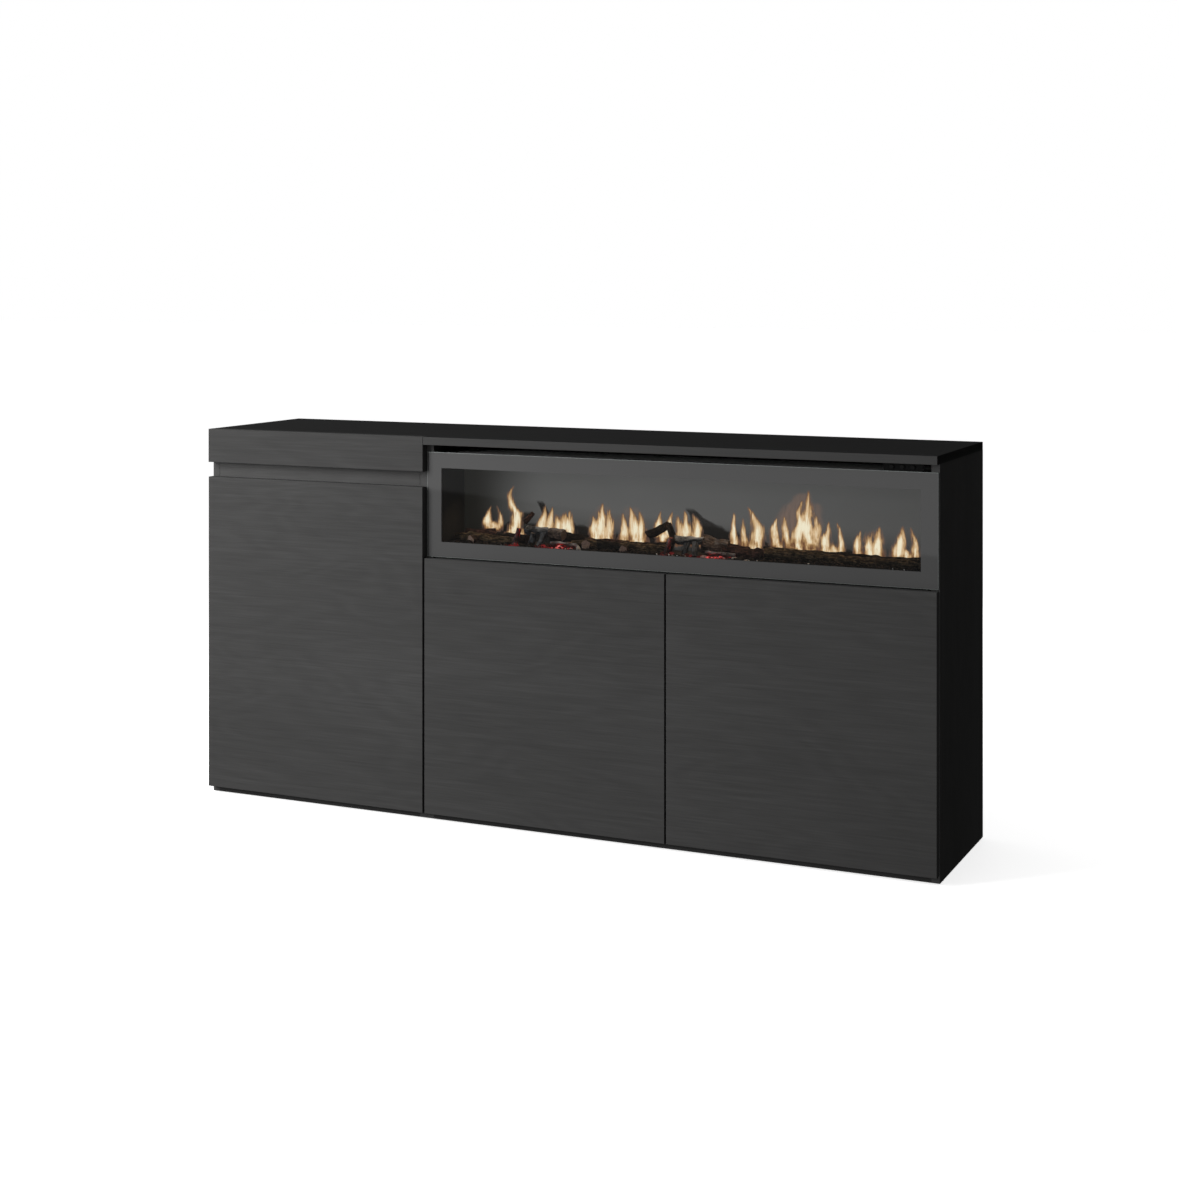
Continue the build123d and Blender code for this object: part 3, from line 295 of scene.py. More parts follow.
# ---------------------------------------------------------------- materials: the fire
def fire_screen(name):
    """The screen that the flames are thrown on: grey haze as a glow, partly back-lit and partly painted
    light, with painted shade.
    """
    s = Surface(name)
    low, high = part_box("flame_screen")
    split = s.node("ShaderNodeSeparateXYZ", {0: s.place})
    across, height = split.outputs[0], split.outputs[2]
    smoke = s.noise(s.stretch((5.0, 5.0, 9.0)), 1.0, 3.0, 0.5)
    # painted shade: the haze glow fades at the left end, towards the right, low down and near the top
    left_painted_shade = s.soft_step(across, low.x + 0.015, low.x + 0.205, 0.0)
    right_painted_shade = s.remap(across, low.x + 0.40, high.x, 1.0, 0.72)
    rise = s.soft_step(height, low.z + 0.040, low.z + 0.100, 0.38)
    top_painted_shade = s.remap(height, high.z - 0.045, high.z, 1.0, 0.80)
    haze = s.math("MULTIPLY", s.math("MULTIPLY", left_painted_shade, right_painted_shade), s.math("MULTIPLY", rise, top_painted_shade))
    haze = s.math("MULTIPLY", haze, s.remap(smoke, 0.3, 0.7, 0.95, 1.05))
    glow = s.ramp(haze, (0.0, (0.0072, 0.0070, 0.0058)), (1.0, (0.0875, 0.0875, 0.0865)))
    dull = s.ramp(smoke, (0.3, (0.008, 0.008, 0.007)), (0.7, (0.012, 0.012, 0.011)))
    return s.finish(Base_Color=dull, Roughness=s.remap(smoke, 0.2, 0.8, 0.6, 0.75),
                    Emission_Color=glow, Emission_Strength=1.0, Specular_IOR_Level=0.1)


def flame_light(name):
    """A flame picture: creamy in its core, through amber to a soft brown edge.

    The mesh carries warmth (0 outside, 1 in the core), smoke (how much thin brown smoke there is)
    and rise (0 at the foot of the flame, 1 at its top).
    """
    s = Surface(name)
    heat = s.stored("warmth")
    veil = s.stored("smoke")
    rise = s.stored("rise")
    lick = s.noise(s.stretch((150.0, 150.0, 24.0)), 1.0, 3.0, 0.5, 1.1)
    wisp = s.noise(s.stretch((330.0, 330.0, 60.0)), 1.0, 2.0, 0.5, 0.6)
    flow = s.math("MULTIPLY_ADD", s.math("SUBTRACT", lick, 0.5), 1.05, heat)
    flow = s.math("MULTIPLY_ADD", s.math("SUBTRACT", wisp, 0.5), 0.34, flow)
    cool = s.math("MULTIPLY_ADD", s.math("POWER", rise, 2.0), -0.20, flow)
    foot = s.remap(s.noise(s.stretch((120.0, 120.0, 80.0)), 1.0, 2.0, 0.5), 0.35, 0.65, 0.2, 1.0)
    cool = s.math("MULTIPLY_ADD", s.remap(rise, 0.08, 0.40, -0.70, 0.0), foot, cool)
    hot = s.ramp(
        cool,
        (0.02, (0.112, 0.054, 0.030)),
        (0.20, (0.190, 0.090, 0.042)),
        (0.40, (0.400, 0.236, 0.100)),
        (0.60, (0.690, 0.478, 0.268)),
        (0.88, (0.900, 0.820, 0.610)),
    )
    smoke = s.ramp(lick, (0.3, (0.156, 0.100, 0.078)), (0.7, (0.212, 0.142, 0.110)))
    solid = s.remap(flow, 0.03, 0.46)
    colour = s.mix(solid, smoke, hot)
    thin = s.math("MULTIPLY", veil, s.remap(lick, 0.2, 0.8, 0.55, 0.80))
    alpha = s.math("MAXIMUM", s.math("MULTIPLY", solid, s.remap(heat, 0.0, 0.06)), thin, clamp=True)
    return s.finish(Base_Color=(0.0, 0.0, 0.0, 1.0), Emission_Color=colour, Emission_Strength=1.0,
                    Alpha=alpha, Specular_IOR_Level=0.0, Roughness=s.remap(lick, 0.0, 1.0, 0.9, 1.0))


def mirrored_logs(name):
    """What the half-mirror of the screen shows low down: the backs of the logs, dark and blurred."""
    s = Surface(name)
    shade = s.stored("shade")
    lumps = s.noise(s.place, 70.0, 4.0, 0.6)
    fine = s.noise(s.place, 300.0, 3.0, 0.6)
    colour = s.ramp(s.weighted(fine, 0.4, lumps),
                    (0.38, (0.0050, 0.0042, 0.0036)), (0.66, (0.0135, 0.0110, 0.0090)))
    alpha = s.math("MULTIPLY", shade, s.remap(lumps, 0.2, 0.8, 0.86, 1.0), clamp=True)
    return s.finish(Base_Color=(0.0, 0.0, 0.0, 1.0), Emission_Color=colour, Emission_Strength=1.0,
                    Alpha=alpha, Specular_IOR_Level=0.0, Roughness=s.remap(fine, 0.0, 1.0, 0.9, 1.0))


def bark(name, dark, light, ash=0.0, ember=0.0):
    """Cast bark: deep lengthwise cracks, optional ash on what faces up, optional glow in the cracks."""
    s = Surface(name)
    ridge = s.stored("ridge")
    fleck = s.noise(s.place, 300.0, 5.0, 0.7)
    patch = s.noise(s.place, 55.0, 4.0, 0.6)
    moss = s.noise(s.place, 120.0, 4.0, 0.65)
    tone = s.math("MULTIPLY_ADD", moss, 0.36, s.math("MULTIPLY", ridge, 0.22))
    tone = s.math("MULTIPLY_ADD", fleck, 0.42, tone)
    colour = s.ramp(tone, (0.34, tuple(c * 0.35 for c in dark)), (0.5, dark), (0.66, light))
    up = s.node("ShaderNodeSeparateXYZ", {0: s.node("ShaderNodeNewGeometry").outputs["Normal"]}).outputs[2]
    dust = s.math("MULTIPLY", s.remap(up, 0.1, 0.9), s.remap(patch, 0.38, 0.62), clamp=True)
    colour = s.mix(s.math("MULTIPLY", dust, ash), colour, (0.27, 0.30, 0.335))
    crack = s.remap(ridge, 0.42, 0.16)
    hot = s.math("MULTIPLY", crack, s.remap(patch, 0.45, 0.68), clamp=True)
    deep = s.math("MULTIPLY", s.remap(patch, 0.50, 0.74), crack)
    hot = s.math("MAXIMUM", s.math("MULTIPLY", hot, 0.6), deep)
    glow = s.ramp(hot, (0.0, (0.0, 0.0, 0.0)), (0.3, (0.35, 0.012, 0.010)), (1.0, (1.0, 0.09, 0.055)))
    s.bump(s.math("MULTIPLY_ADD", ridge, 0.5, fleck), 0.6, 0.0007)
    rough = s.remap(fleck, 0.2, 0.8, 0.72, 0.92)
    return s.finish(Base_Color=colour, Roughness=rough, Specular_IOR_Level=0.25, Emission_Color=glow,
                    Emission_Strength=ember)


def cut_wood(name, dark, light):
    """A sawn or split end with growth rings and checks."""
    s = Surface(name)
    ring = s.stored("ridge")
    rings = s.math("MULTIPLY_ADD", s.math("SINE", s.math("MULTIPLY", ring, 38.0)), 0.5, 0.5)
    grain = s.noise(s.place, 380.0, 5.0, 0.65)
    tone = s.weighted(grain, 0.7, rings)
    colour = s.ramp(tone, (0.25, tuple(c * 0.45 for c in dark)), (0.5, dark), (0.8, light))
    s.bump(grain, 0.5, 0.0006)
    return s.finish(Base_Color=colour, Roughness=s.remap(grain, 0.2, 0.8, 0.7, 0.9), Specular_IOR_Level=0.25)


def coal(name):
    """Crumbled embers: a black crust with red glow between, and pale grains.

    The mesh carries fire (how strongly a lump glows) and pale (how ashen it is).
    """
    s = Surface(name)
    fire = s.stored("fire")
    pale = s.stored("pale")
    crust = s.noise(s.place, 260.0, 5.0, 0.65)
    fine = s.noise(s.place, 1100.0, 3.0, 0.6)
    colour = s.ramp(s.weighted(fine, 0.5, crust),
                    (0.35, (0.005, 0.0045, 0.004)),
                    (0.58, (0.022, 0.016, 0.012)),
                    (0.75, (0.070, 0.052, 0.040)))
    colour = s.mix(pale, colour, (0.75, 0.74, 0.72))
    hot = s.math("MULTIPLY", s.remap(crust, 0.56, 0.40), fire, clamp=True)
    glow = s.ramp(hot, (0.0, (0.0, 0.0, 0.0)), (0.4, (0.30, 0.012, 0.016)), (1.0, (0.95, 0.12, 0.11)))
    s.bump(crust, 0.7, 0.0008)
    return s.finish(Base_Color=colour, Roughness=s.remap(fine, 0.2, 0.8, 0.6, 0.9), Emission_Color=glow,
                    Emission_Strength=1.0)


def lamp_board(name):
    """White lamp boards with a warm glow over their lamps."""
    s = Surface(name)
    fine = s.noise(s.place, 600.0, 3.0, 0.6)
    colour = s.ramp(fine, (0.3, (0.55, 0.52, 0.44)), (0.7, (0.72, 0.69, 0.60)))
    height = s.node("ShaderNodeSeparateXYZ", {0: s.place}).outputs[2]
    low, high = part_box("led_boards")
    lit = s.remap(height, high.z - 0.0010, high.z - 0.0004)
    glow = s.ramp(lit, (0.0, (0.0, 0.0, 0.0)), (1.0, (1.0, 0.62, 0.28)))
    return s.finish(Base_Color=colour, Roughness=s.remap(fine, 0.2, 0.8, 0.45, 0.6), Emission_Color=glow,
                    Emission_Strength=1.2)


# ---------------------------------------------------------------- which node gets which material
def dress(material, *names):
    """Puts a material in a CAD node's own slots."""
    for name in names:
        mesh = NODES[name].data
        mesh.materials.clear()
        mesh.materials.append(material)


# levels of one black melamine that paint in the light: the top painted darker and the sides darker than the
# fronts, the groove rail and front edges painted lighter; the inner boards are a little darker
FRONT, TOP_SHADED_LEVEL, SIDE_SHADED_LEVEL, INSIDE = 0.0465, 0.0092, 0.038, 0.034
GROOVE_AND_EDGE_LIT_LEVEL = 0.062
dress(melamine("top_melamine", "X", TOP_SHADED_LEVEL, 1.0, FRONT), "top_panel")
for order, name in enumerate(("left_door", "middle_door", "right_door", "fascia_board")):
    dress(melamine(f"{name}_melamine", "X", FRONT, 3.0 + 1.7 * order), name)
for order, name in enumerate(("left_side_panel", "right_side_panel", "inner_left_side_panel",
                              "inner_right_side_panel", "centre_divider")):
    dress(melamine(f"{name}_melamine", "Z", SIDE_SHADED_LEVEL, 12.0 + 2.3 * order, GROOVE_AND_EDGE_LIT_LEVEL), name)
for order, name in enumerate(("left_bottom_panel", "right_bottom_panel", "fireplace_deck", "left_shelf",
                              "middle_shelf", "right_shelf")):
    dress(melamine(f"{name}_melamine", "X", INSIDE, 25.0 + 1.9 * order), name)
dress(melamine("groove_melamine", "X", GROOVE_AND_EDGE_LIT_LEVEL, 41.0), "groove_rail")
dress(hardboard("back_hardboard", 0.055), "left_back_panel", "right_back_panel")
dress(plated("nickel_plate", (0.66, 0.655, 0.64), 0.30), "shelf_pins", "module_bolts", "hinge_plates",
      "left_hinge_cups", "middle_hinge_cups", "right_hinge_cups", "hinge_arms")
dress(plated("bright_zinc", (0.74, 0.74, 0.75), 0.20), "hinge_pins", "plate_screws")
dress(plated("die_cast_zinc", (0.50, 0.50, 0.51), 0.42), "cam_fittings")
dress(plated("motor_zinc", (0.52, 0.52, 0.53), 0.36, "X"), "rotor_motor", "blower_motor")
dress(plated("duct_zinc", (0.58, 0.59, 0.60), 0.38, "X"), "blower_housing")
dress(plated("fan_aluminium", (0.70, 0.70, 0.71), 0.30, "X"), "blower_wheel")
dress(plated("rotor_foil", (0.86, 0.86, 0.87), 0.12, "X"), "flame_rotor")
dress(plated("heater_aluminium", (0.56, 0.55, 0.53), 0.45, "Z"), "heating_element")
dress(coated("glide_plastic", grey(0.02), 0.5), "floor_glides")
dress(coated("latch_plastic", grey(0.10), 0.42), "latch_bodies")
dress(coated("plunger_plastic", grey(0.28), 0.38), "middle_latch_plunger", "right_latch_plunger")
dress(coated("bezel_paint", grey(0.052, 0.004), 0.42, 1200.0, 0.00005, 0.2), "glass_bezel")
# the case's pale top is painted light, which lightens the slot above the case
dress(coated("case_powder_painted_light_top", grey(0.014), 0.55, 900.0, top=grey(0.72)), "fireplace_case")
dress(coated("liner_paint", grey(0.030, 0.0), 0.7, 700.0, 0.0002, 0.2), "firebox_liner", "ember_tray")
dress(coated("grille_powder", grey(0.012), 0.5, 900.0), "outlet_grille")
dress(coated("panel_plastic", grey(0.013), 0.55, 1500.0, specular=0.1), "control_panel")
dress(coated("button_plastic", grey(0.016), 0.45, 1800.0, specular=0.15),
      "power_button", "flame_button", "heat_button")
dress(coated("bush_nylon", (0.62, 0.60, 0.54), 0.45), "rotor_bush")
dress(coated("switch_plastic", grey(0.015), 0.28, 1500.0, 0.00005), "switch_housing")
dress(coated("rocker_plastic", (0.36, 0.02, 0.015), 0.25, 1500.0, 0.00005), "power_rocker")
dress(coated("gland_nylon", grey(0.02), 0.45, 1500.0), "mains_gland")
dress(circuit_board("circuit_board"), "control_board", "power_board")
dress(lamp_board("lamp_board"), "led_boards")
dress(fire_screen("fire_screen"), "flame_screen")


# ---------------------------------------------------------------- mesh helpers
def placed(name, data):
    """A new object, linked to the scene."""
    made = bpy.data.objects.new(name, data)
    bpy.context.scene.collection.objects.link(made)
    return made


def mesh_from(bm, name):
    """A mesh made from a finished bmesh, which is freed."""
    mesh = bpy.data.meshes.new(name)
    bm.to_mesh(mesh)
    bm.free()
    return mesh


def add_piece(name, mesh, materials, body=ROOT):
    """Links a finished mesh as a piece that rides on a body."""
    piece = placed(name, mesh)
    for material in materials:
        mesh.materials.append(material)
    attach(piece, body)
    return piece


def smooth_by_angle(mesh, degrees=40.0):
    """Smooth shading, with hard edges kept hard."""
    mesh.shade_smooth()
    bm = bmesh.new()
    bm.from_mesh(mesh)
    for edge in bm.edges:
        if len(edge.link_faces) == 2 and edge.calc_face_angle(0.0) > math.radians(degrees):
            edge.smooth = False
    bm.to_mesh(mesh)
    bm.free()


# ---------------------------------------------------------------- front glass
def window_opening():
    """The corners of the opening in the glass's border, from the border plate behind the glass."""
    low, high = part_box("glass_bezel")
    xs = sorted({round(v.co.x, 5) for v in NODES["glass_bezel"].data.vertices})
    zs = sorted({round(v.co.z, 5) for v in NODES["glass_bezel"].data.vertices})
    inner_x = [x for x in xs if low.x + 0.01 < x < high.x - 0.01]
    inner_z = [z for z in zs if low.z + 0.01 < z < high.z - 0.01]
    return Vector((inner_x[0], low.y, inner_z[0])), Vector((inner_x[-1], high.y, inner_z[-1]))


BORDER_GAP = 0.00015  # between the glass and the bezel behind it


def front_glass():
    """The glass pane: a printed border round a clear window, a clear back and ground edges."""
    low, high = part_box("front_glass")
    hole_low, hole_high = window_opening()
    bm = bmesh.new()
    bmesh.ops.create_cube(bm, size=1.0)
    for vertex in bm.verts:
        for axis in range(3):
            vertex.co[axis] = low[axis] if vertex.co[axis] < 0 else high[axis]
        if vertex.co.y > low.y + 0.001:
            vertex.co.y -= BORDER_GAP
    front = [e for e in bm.edges if all(v.co.y < low.y + 1e-6 for v in e.verts)]
    bmesh.ops.bevel(bm, geom=front, offset=0.0009, segments=2, profile=0.5, affect="EDGES")
    for axis, place in (("x", hole_low.x), ("x", hole_high.x), ("z", hole_low.z), ("z", hole_high.z)):
        point = Vector((place, 0, 0)) if axis == "x" else Vector((0, 0, place))
        facing = [f for f in bm.faces if abs(f.normal.y) > 0.99]
        edges = list({e for f in facing for e in f.edges})
        vertices = list({v for f in facing for v in f.verts})
        normal = Vector((1, 0, 0)) if axis == "x" else Vector((0, 0, 1))
        bmesh.ops.bisect_plane(bm, geom=facing + edges + vertices, plane_co=point, plane_no=normal)
    for face in bm.faces:
        middle = face.calc_center_median()
        inside = hole_low.x < middle.x < hole_high.x and hole_low.z < middle.z < hole_high.z
        face.material_index = 2
        if face.normal.y < -0.99:
            face.material_index = 0 if inside else 3
        elif face.normal.y > 0.99:
            face.material_index = 1
    mesh = mesh_from(bm, "front_glass_pane")
    piece = add_piece("front_glass_pane", mesh,
                      [clear_glass("glass_window"), passing_glass("glass_back"), glass_edge("glass_edge"),
                       printed_glass("glass_border")])
    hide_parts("front_glass")


front_glass()


# ---------------------------------------------------------------- logs
# start, end, radii at both ends, kind, in millimetres; they lie where the CAD has its log casting
LOGS = (
    # front row: short logs lying along the tray, and cut ends that look out at the front
    ((-228, -108, 576), (-166, -118, 577), 8.5, 10.0, "moss"),
    ((-176, -104, 576), (-180, -139, 575), 10.5, 9.5, "stub"),
    ((-160, -118, 577), (-84, -122, 576), 10.5, 9.0, "moss"),
    ((44, -122, 576), (110, -116, 578), 9.5, 11.0, "moss"),
    ((66, -98, 579), (76, -136, 579), 9.0, 9.5, "stub"),
    ((96, -124, 578), (150, -118, 577), 11.0, 9.0, "char"),
    ((152, -100, 574), (160, -139, 573), 10.5, 9.5, "stub"),
    ((150, -116, 578), (248, -124, 577), 10.0, 9.5, "moss"),
    ((386, -118, 578), (452, -124, 579), 11.0, 12.0, "red"),
    ((440, -122, 579), (566, -124, 578), 12.0, 10.5, "moss"),
    ((556, -122, 578), (660, -126, 577), 11.0, 10.0, "moss"),
    ((640, -128, 576), (752, -118, 577), 10.0, 11.5, "moss"),
    # rear row
    ((-216, -94, 584), (-148, -90, 588), 8.0, 7.0, "red"),
    ((-152, -92, 577), (-72, -94, 577), 8.0, 9.0, "char"),
    ((-24, -88, 586), (60, -84, 582), 10.0, 9.0, "char"),
    ((52, -86, 578), (146, -90, 578), 9.0, 9.0, "red"),
    ((136, -88, 576), (246, -88, 578), 9.0, 9.0, "char"),
    ((440, -90, 580), (602, -92, 579), 12.0, 10.0, "char"),
    ((592, -90, 578), (745, -94, 578), 11.0, 10.0, "char"),
    # sticks that lean on the rows
    ((-77, -62, 626), (-92, -66, 609), 4.5, 6.5, "red"),
    ((192, -92, 600), (232, -88, 620), 8.5, 8.5, "char"),
    ((237, -94, 624), (250, -92, 588), 6.0, 7.5, "char"),
    ((310, -92, 590), (364, -96, 586), 17.0, 13.0, "block"),
    ((352, -98, 583), (412, -100, 579), 11.0, 9.0, "red"),
    # charred logs across the front, on short stubs
    ((-66, -116, 600), (-18, -112, 599), 8.0, 8.0, "ash"),
    ((-18, -108, 596), (22, -122, 594), 9.5, 11.5, "block"),
    ((-52, -126, 567), (-46, -120, 596), 7.0, 6.0, "ash"),
    ((-30, -128, 567), (-24, -118, 596), 7.5, 6.5, "ash"),
    ((262, -116, 598), (316, -112, 597), 8.5, 8.0, "ash"),
    ((284, -128, 567), (288, -120, 594), 6.5, 6.0, "ash"),
    ((306, -130, 567), (304, -118, 594), 6.5, 6.0, "ash"),
    # glowing pieces in the embers
    ((0, -136, 577), (58, -131, 573), 5.0, 6.5, "ember"),
    ((332, -136, 577), (392, -132, 573), 5.0, 6.5, "ember"),
    ((-84, -134, 568), (-76, -126, 603), 6.5, 4.5, "ember"),
    ((248, -134, 568), (256, -126, 602), 6.0, 4.5, "ember"),
)
BARKS = {
    "moss": bark("bark_mossy", (0.022, 0.0160, 0.0090), (0.125, 0.090, 0.054)),
    "char": bark("bark_charred", (0.0065, 0.0054, 0.0047), (0.026, 0.0195, 0.0155)),
    "red": bark("bark_reddish", (0.017, 0.0085, 0.0070), (0.085, 0.044, 0.034)),
    "stub": bark("bark_brown", (0.020, 0.0125, 0.0085), (0.100, 0.066, 0.046)),
    "block": bark("bark_split", (0.034, 0.025, 0.020), (0.135, 0.100, 0.082), 0.3),
    "ash": bark("bark_ashen", (0.012, 0.013, 0.015), (0.062, 0.070, 0.080), 0.75),
    "ember": bark("bark_glowing", (0.016, 0.008, 0.008), (0.060, 0.030, 0.027), 0.95, 1.7),
}
ENDS = {
    "moss": cut_wood("cut_mossy", (0.030, 0.021, 0.014), (0.115, 0.080, 0.058)),
    "char": cut_wood("cut_dark", (0.020, 0.013, 0.010), (0.070, 0.046, 0.036)),
    "red": cut_wood("cut_red", (0.060, 0.030, 0.024), (0.200, 0.120, 0.095)),
    "stub": cut_wood("cut_pinkish", (0.250, 0.165, 0.132), (0.560, 0.410, 0.340)),
    "block": cut_wood("cut_brown", (0.070, 0.052, 0.045), (0.160, 0.122, 0.106)),
    "ash": cut_wood("cut_ashen", (0.060, 0.055, 0.055), (0.190, 0.180, 0.180)),
    "ember": cut_wood("cut_glowing", (0.11, 0.03, 0.02), (0.25, 0.10, 0.08)),
}
AROUND = 56


def ridge_height(angle, along, seed, twist):
    """How high the bark stands at a place round and along a log, from 0 in a crack to 1."""
    spin = angle + twist * along
    ring = Vector((math.cos(spin), math.sin(spin), along * 34.0)) * 2.1 + Vector((seed, -seed, seed * 0.5))
    broad = noise.noise(ring * 1.5)
    cracks = abs(noise.noise(Vector((ring.x * 2.6, ring.y * 2.6, ring.z * 0.8)))) * 2.2
    return max(0.0, min(1.0, 0.25 + 0.35 * broad + 0.75 * min(cracks, 1.0)))


def round_log(name, start, end, start_radius, end_radius, kind, seed):
    """A log with ridged bark, a slight bend, knots, and slanting cut ends."""
    start, end = Vector(start) / 1000, Vector(end) / 1000
    axis = (end - start).normalized()
    length = (end - start).length
    side = axis.cross(Vector((0, 0, 1)))
    side = side.normalized() if side.length > 0.1 else Vector((1, 0, 0))
    up = side.cross(axis)
    rings = max(10, int(length / 0.0018))
    rng = random.Random(seed)
    slants = [(rng.uniform(-0.7, 0.7), rng.uniform(-0.7, 0.7)) for _ in range(2)]
    bow = rng.uniform(-0.03, 0.03) * length
    knots = [(rng.random(), rng.uniform(0, 2 * math.pi), rng.uniform(0.15, 0.38))
             for _ in range(int(length / 0.022))]
    bm = bmesh.new()
    ridge_layer = bm.verts.layers.float.new("ridge")
    rows = []
    for i in range(rings + 1):
        share = i / rings
        radius = (start_radius + (end_radius - start_radius) * share) / 1000
        centre = start + axis * (length * share) + up * (bow * math.sin(math.pi * share))
        row = []
        for j in range(AROUND):
            angle = 2 * math.pi * j / AROUND
            height = ridge_height(angle, length * share, seed, 6.0)
            around = Vector((math.cos(angle), math.sin(angle), share * length * 48 + seed))
            lump = 1 + 0.30 * noise.noise(around)
            for knot_share, knot_angle, knot_size in knots:
                along = (share - knot_share) * length / 0.006
                away = math.hypot(along, math.sin((angle - knot_angle) / 2) * 4.2)
                lump += knot_size * math.exp(-away * away)
            reach = radius * lump * (0.86 + 0.14 * height)
            offset = side * (math.cos(angle) * reach) + up * (math.sin(angle) * reach)
            near_start, near_end = max(0.0, 1 - share * 3), max(0.0, share * 3 - 2)
            a, b = slants[0], slants[1]
            slide = near_start * (a[0] * math.cos(angle) + a[1] * math.sin(angle))
            slide += near_end * (b[0] * math.cos(angle) + b[1] * math.sin(angle))
            vertex = bm.verts.new(centre + offset + axis * (slide * reach * 0.6))
            vertex[ridge_layer] = height
            row.append(vertex)
        rows.append(row)
    for lower, upper in zip(rows, rows[1:]):
        for j in range(AROUND):
            k = (j + 1) % AROUND
            bm.faces.new((lower[j], lower[k], upper[k], upper[j]))
    for row, outward in ((rows[0], -1), (rows[-1], 1)):
        previous = row
        middle = sum((v.co for v in row), Vector()) / AROUND
        for share in (0.94, 0.75, 0.5, 0.25):
            inner = []
            for j, rim in enumerate(row):
                point = middle.lerp(rim.co, share)
                rough = noise.noise(point * 300 + Vector((seed, 0, 0))) * 0.0006
                check = -0.0012 * max(0.0, noise.noise(Vector((j * 0.55, seed, 3.0)))) * share
                vertex = bm.verts.new(point + axis * (outward * (rough + check)))
                vertex[ridge_layer] = share
                inner.append(vertex)
            for j in range(AROUND):
                k = (j + 1) % AROUND
                quad = (previous[k], previous[j], inner[j], inner[k])
                face = bm.faces.new(quad if outward < 0 else tuple(reversed(quad)))
                face.material_index = 1
            previous = inner
        hub = bm.verts.new(middle)
        for j in range(AROUND):
            k = (j + 1) % AROUND
            corner = (previous[k], previous[j], hub)
            face = bm.faces.new(corner if outward < 0 else tuple(reversed(corner)))
            face.material_index = 1
    floor_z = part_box("ember_tray")[1].z
    for vertex in bm.verts:
        vertex.co.z = max(vertex.co.z, floor_z + 0.0002)
    bmesh.ops.recalc_face_normals(bm, faces=bm.faces)
    mesh = mesh_from(bm, name)
    smooth_by_angle(mesh, 55.0)
    return add_piece(name, mesh, [BARKS[kind], ENDS[kind]])


for number, (start, end, r_start, r_end, kind) in enumerate(LOGS):
    log_piece = round_log(f"log_{number:02d}_{kind}", start, end, r_start, r_end, kind, 3.7 + 5.3 * number)
    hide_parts("log_set")


# ---------------------------------------------------------------- ember bed
# places along the bed where it glows: middle and half width (m), and how strongly
HOT_SPOTS = ((-0.079, 0.012, 0.35), (-0.018, 0.010, 0.30), (0.020, 0.022, 1.0), (0.251, 0.010, 0.40),
             (0.300, 0.010, 0.30), (0.352, 0.024, 1.0))


def spot_level(x, shift, spread):
    """How near a place is to the glowing spots, with the spots moved and widened by their own widths."""
    level = 0.0
    for middle, width, strength in HOT_SPOTS:
        away = (x - middle - shift * width) / (spread * width)
        level = max(level, strength * math.exp(-(away ** 4)))
    return level


def ember_bed():
    """Broken coals and grit over the tray's front, heaped against the logs."""
    low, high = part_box("ember_coals")
    tray_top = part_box("ember_tray")[1].z
    rng = random.Random(11)
    bm = bmesh.new()
    fire, pale = (bm.verts.layers.float.new(n) for n in ("fire", "pale"))
    for _ in range(620):
        size = rng.uniform(0.0016, 0.0044) if rng.random() < 0.8 else rng.uniform(0.0044, 0.0066)
        x = rng.uniform(low.x, high.x)
        y = rng.uniform(low.y + 0.001, high.y + 0.012)
        near = spot_level(x, 0.0, 1.0)
        ashy = spot_level(x, 1.0, 2.0)
        heat = near * (1.0 if rng.random() < 0.7 else 0.15)
        white = rng.uniform(0.2, 0.6) if rng.random() < 0.40 * ashy else 0.0
        if rng.random() < 0.035:
            white, size, y = 1.0, rng.uniform(0.0012, 0.0018), rng.uniform(low.y, low.y + 0.006)
        turn = Matrix.Rotation(rng.uniform(0, 6.28), 3, Vector((rng.random(), rng.random(), 1)).normalized())
        shape = Vector((rng.uniform(0.8, 1.3), rng.uniform(0.8, 1.2), rng.uniform(0.6, 0.9)))
        lift = size * (2.4 if white == 1.0 else 0.35)
        for vertex in bmesh.ops.create_icosphere(bm, subdivisions=2, radius=size)["verts"]:
            rough = 1 + 0.35 * noise.noise(vertex.co * 500 + Vector((x * 90, y * 90, 0)))
            point = turn @ Vector(c * k for c, k in zip(vertex.co, shape)) * rough
            vertex.co = point + Vector((x, y, tray_top + lift))
            vertex.co.z = max(vertex.co.z, tray_top + 0.0001)
            vertex[fire] = heat
            vertex[pale] = white
    mesh = mesh_from(bm, "ember_bed")
    mesh.shade_smooth()
    piece = add_piece("ember_bed", mesh, [coal("ember_coal")])
    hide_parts("ember_coals")


ember_bed()

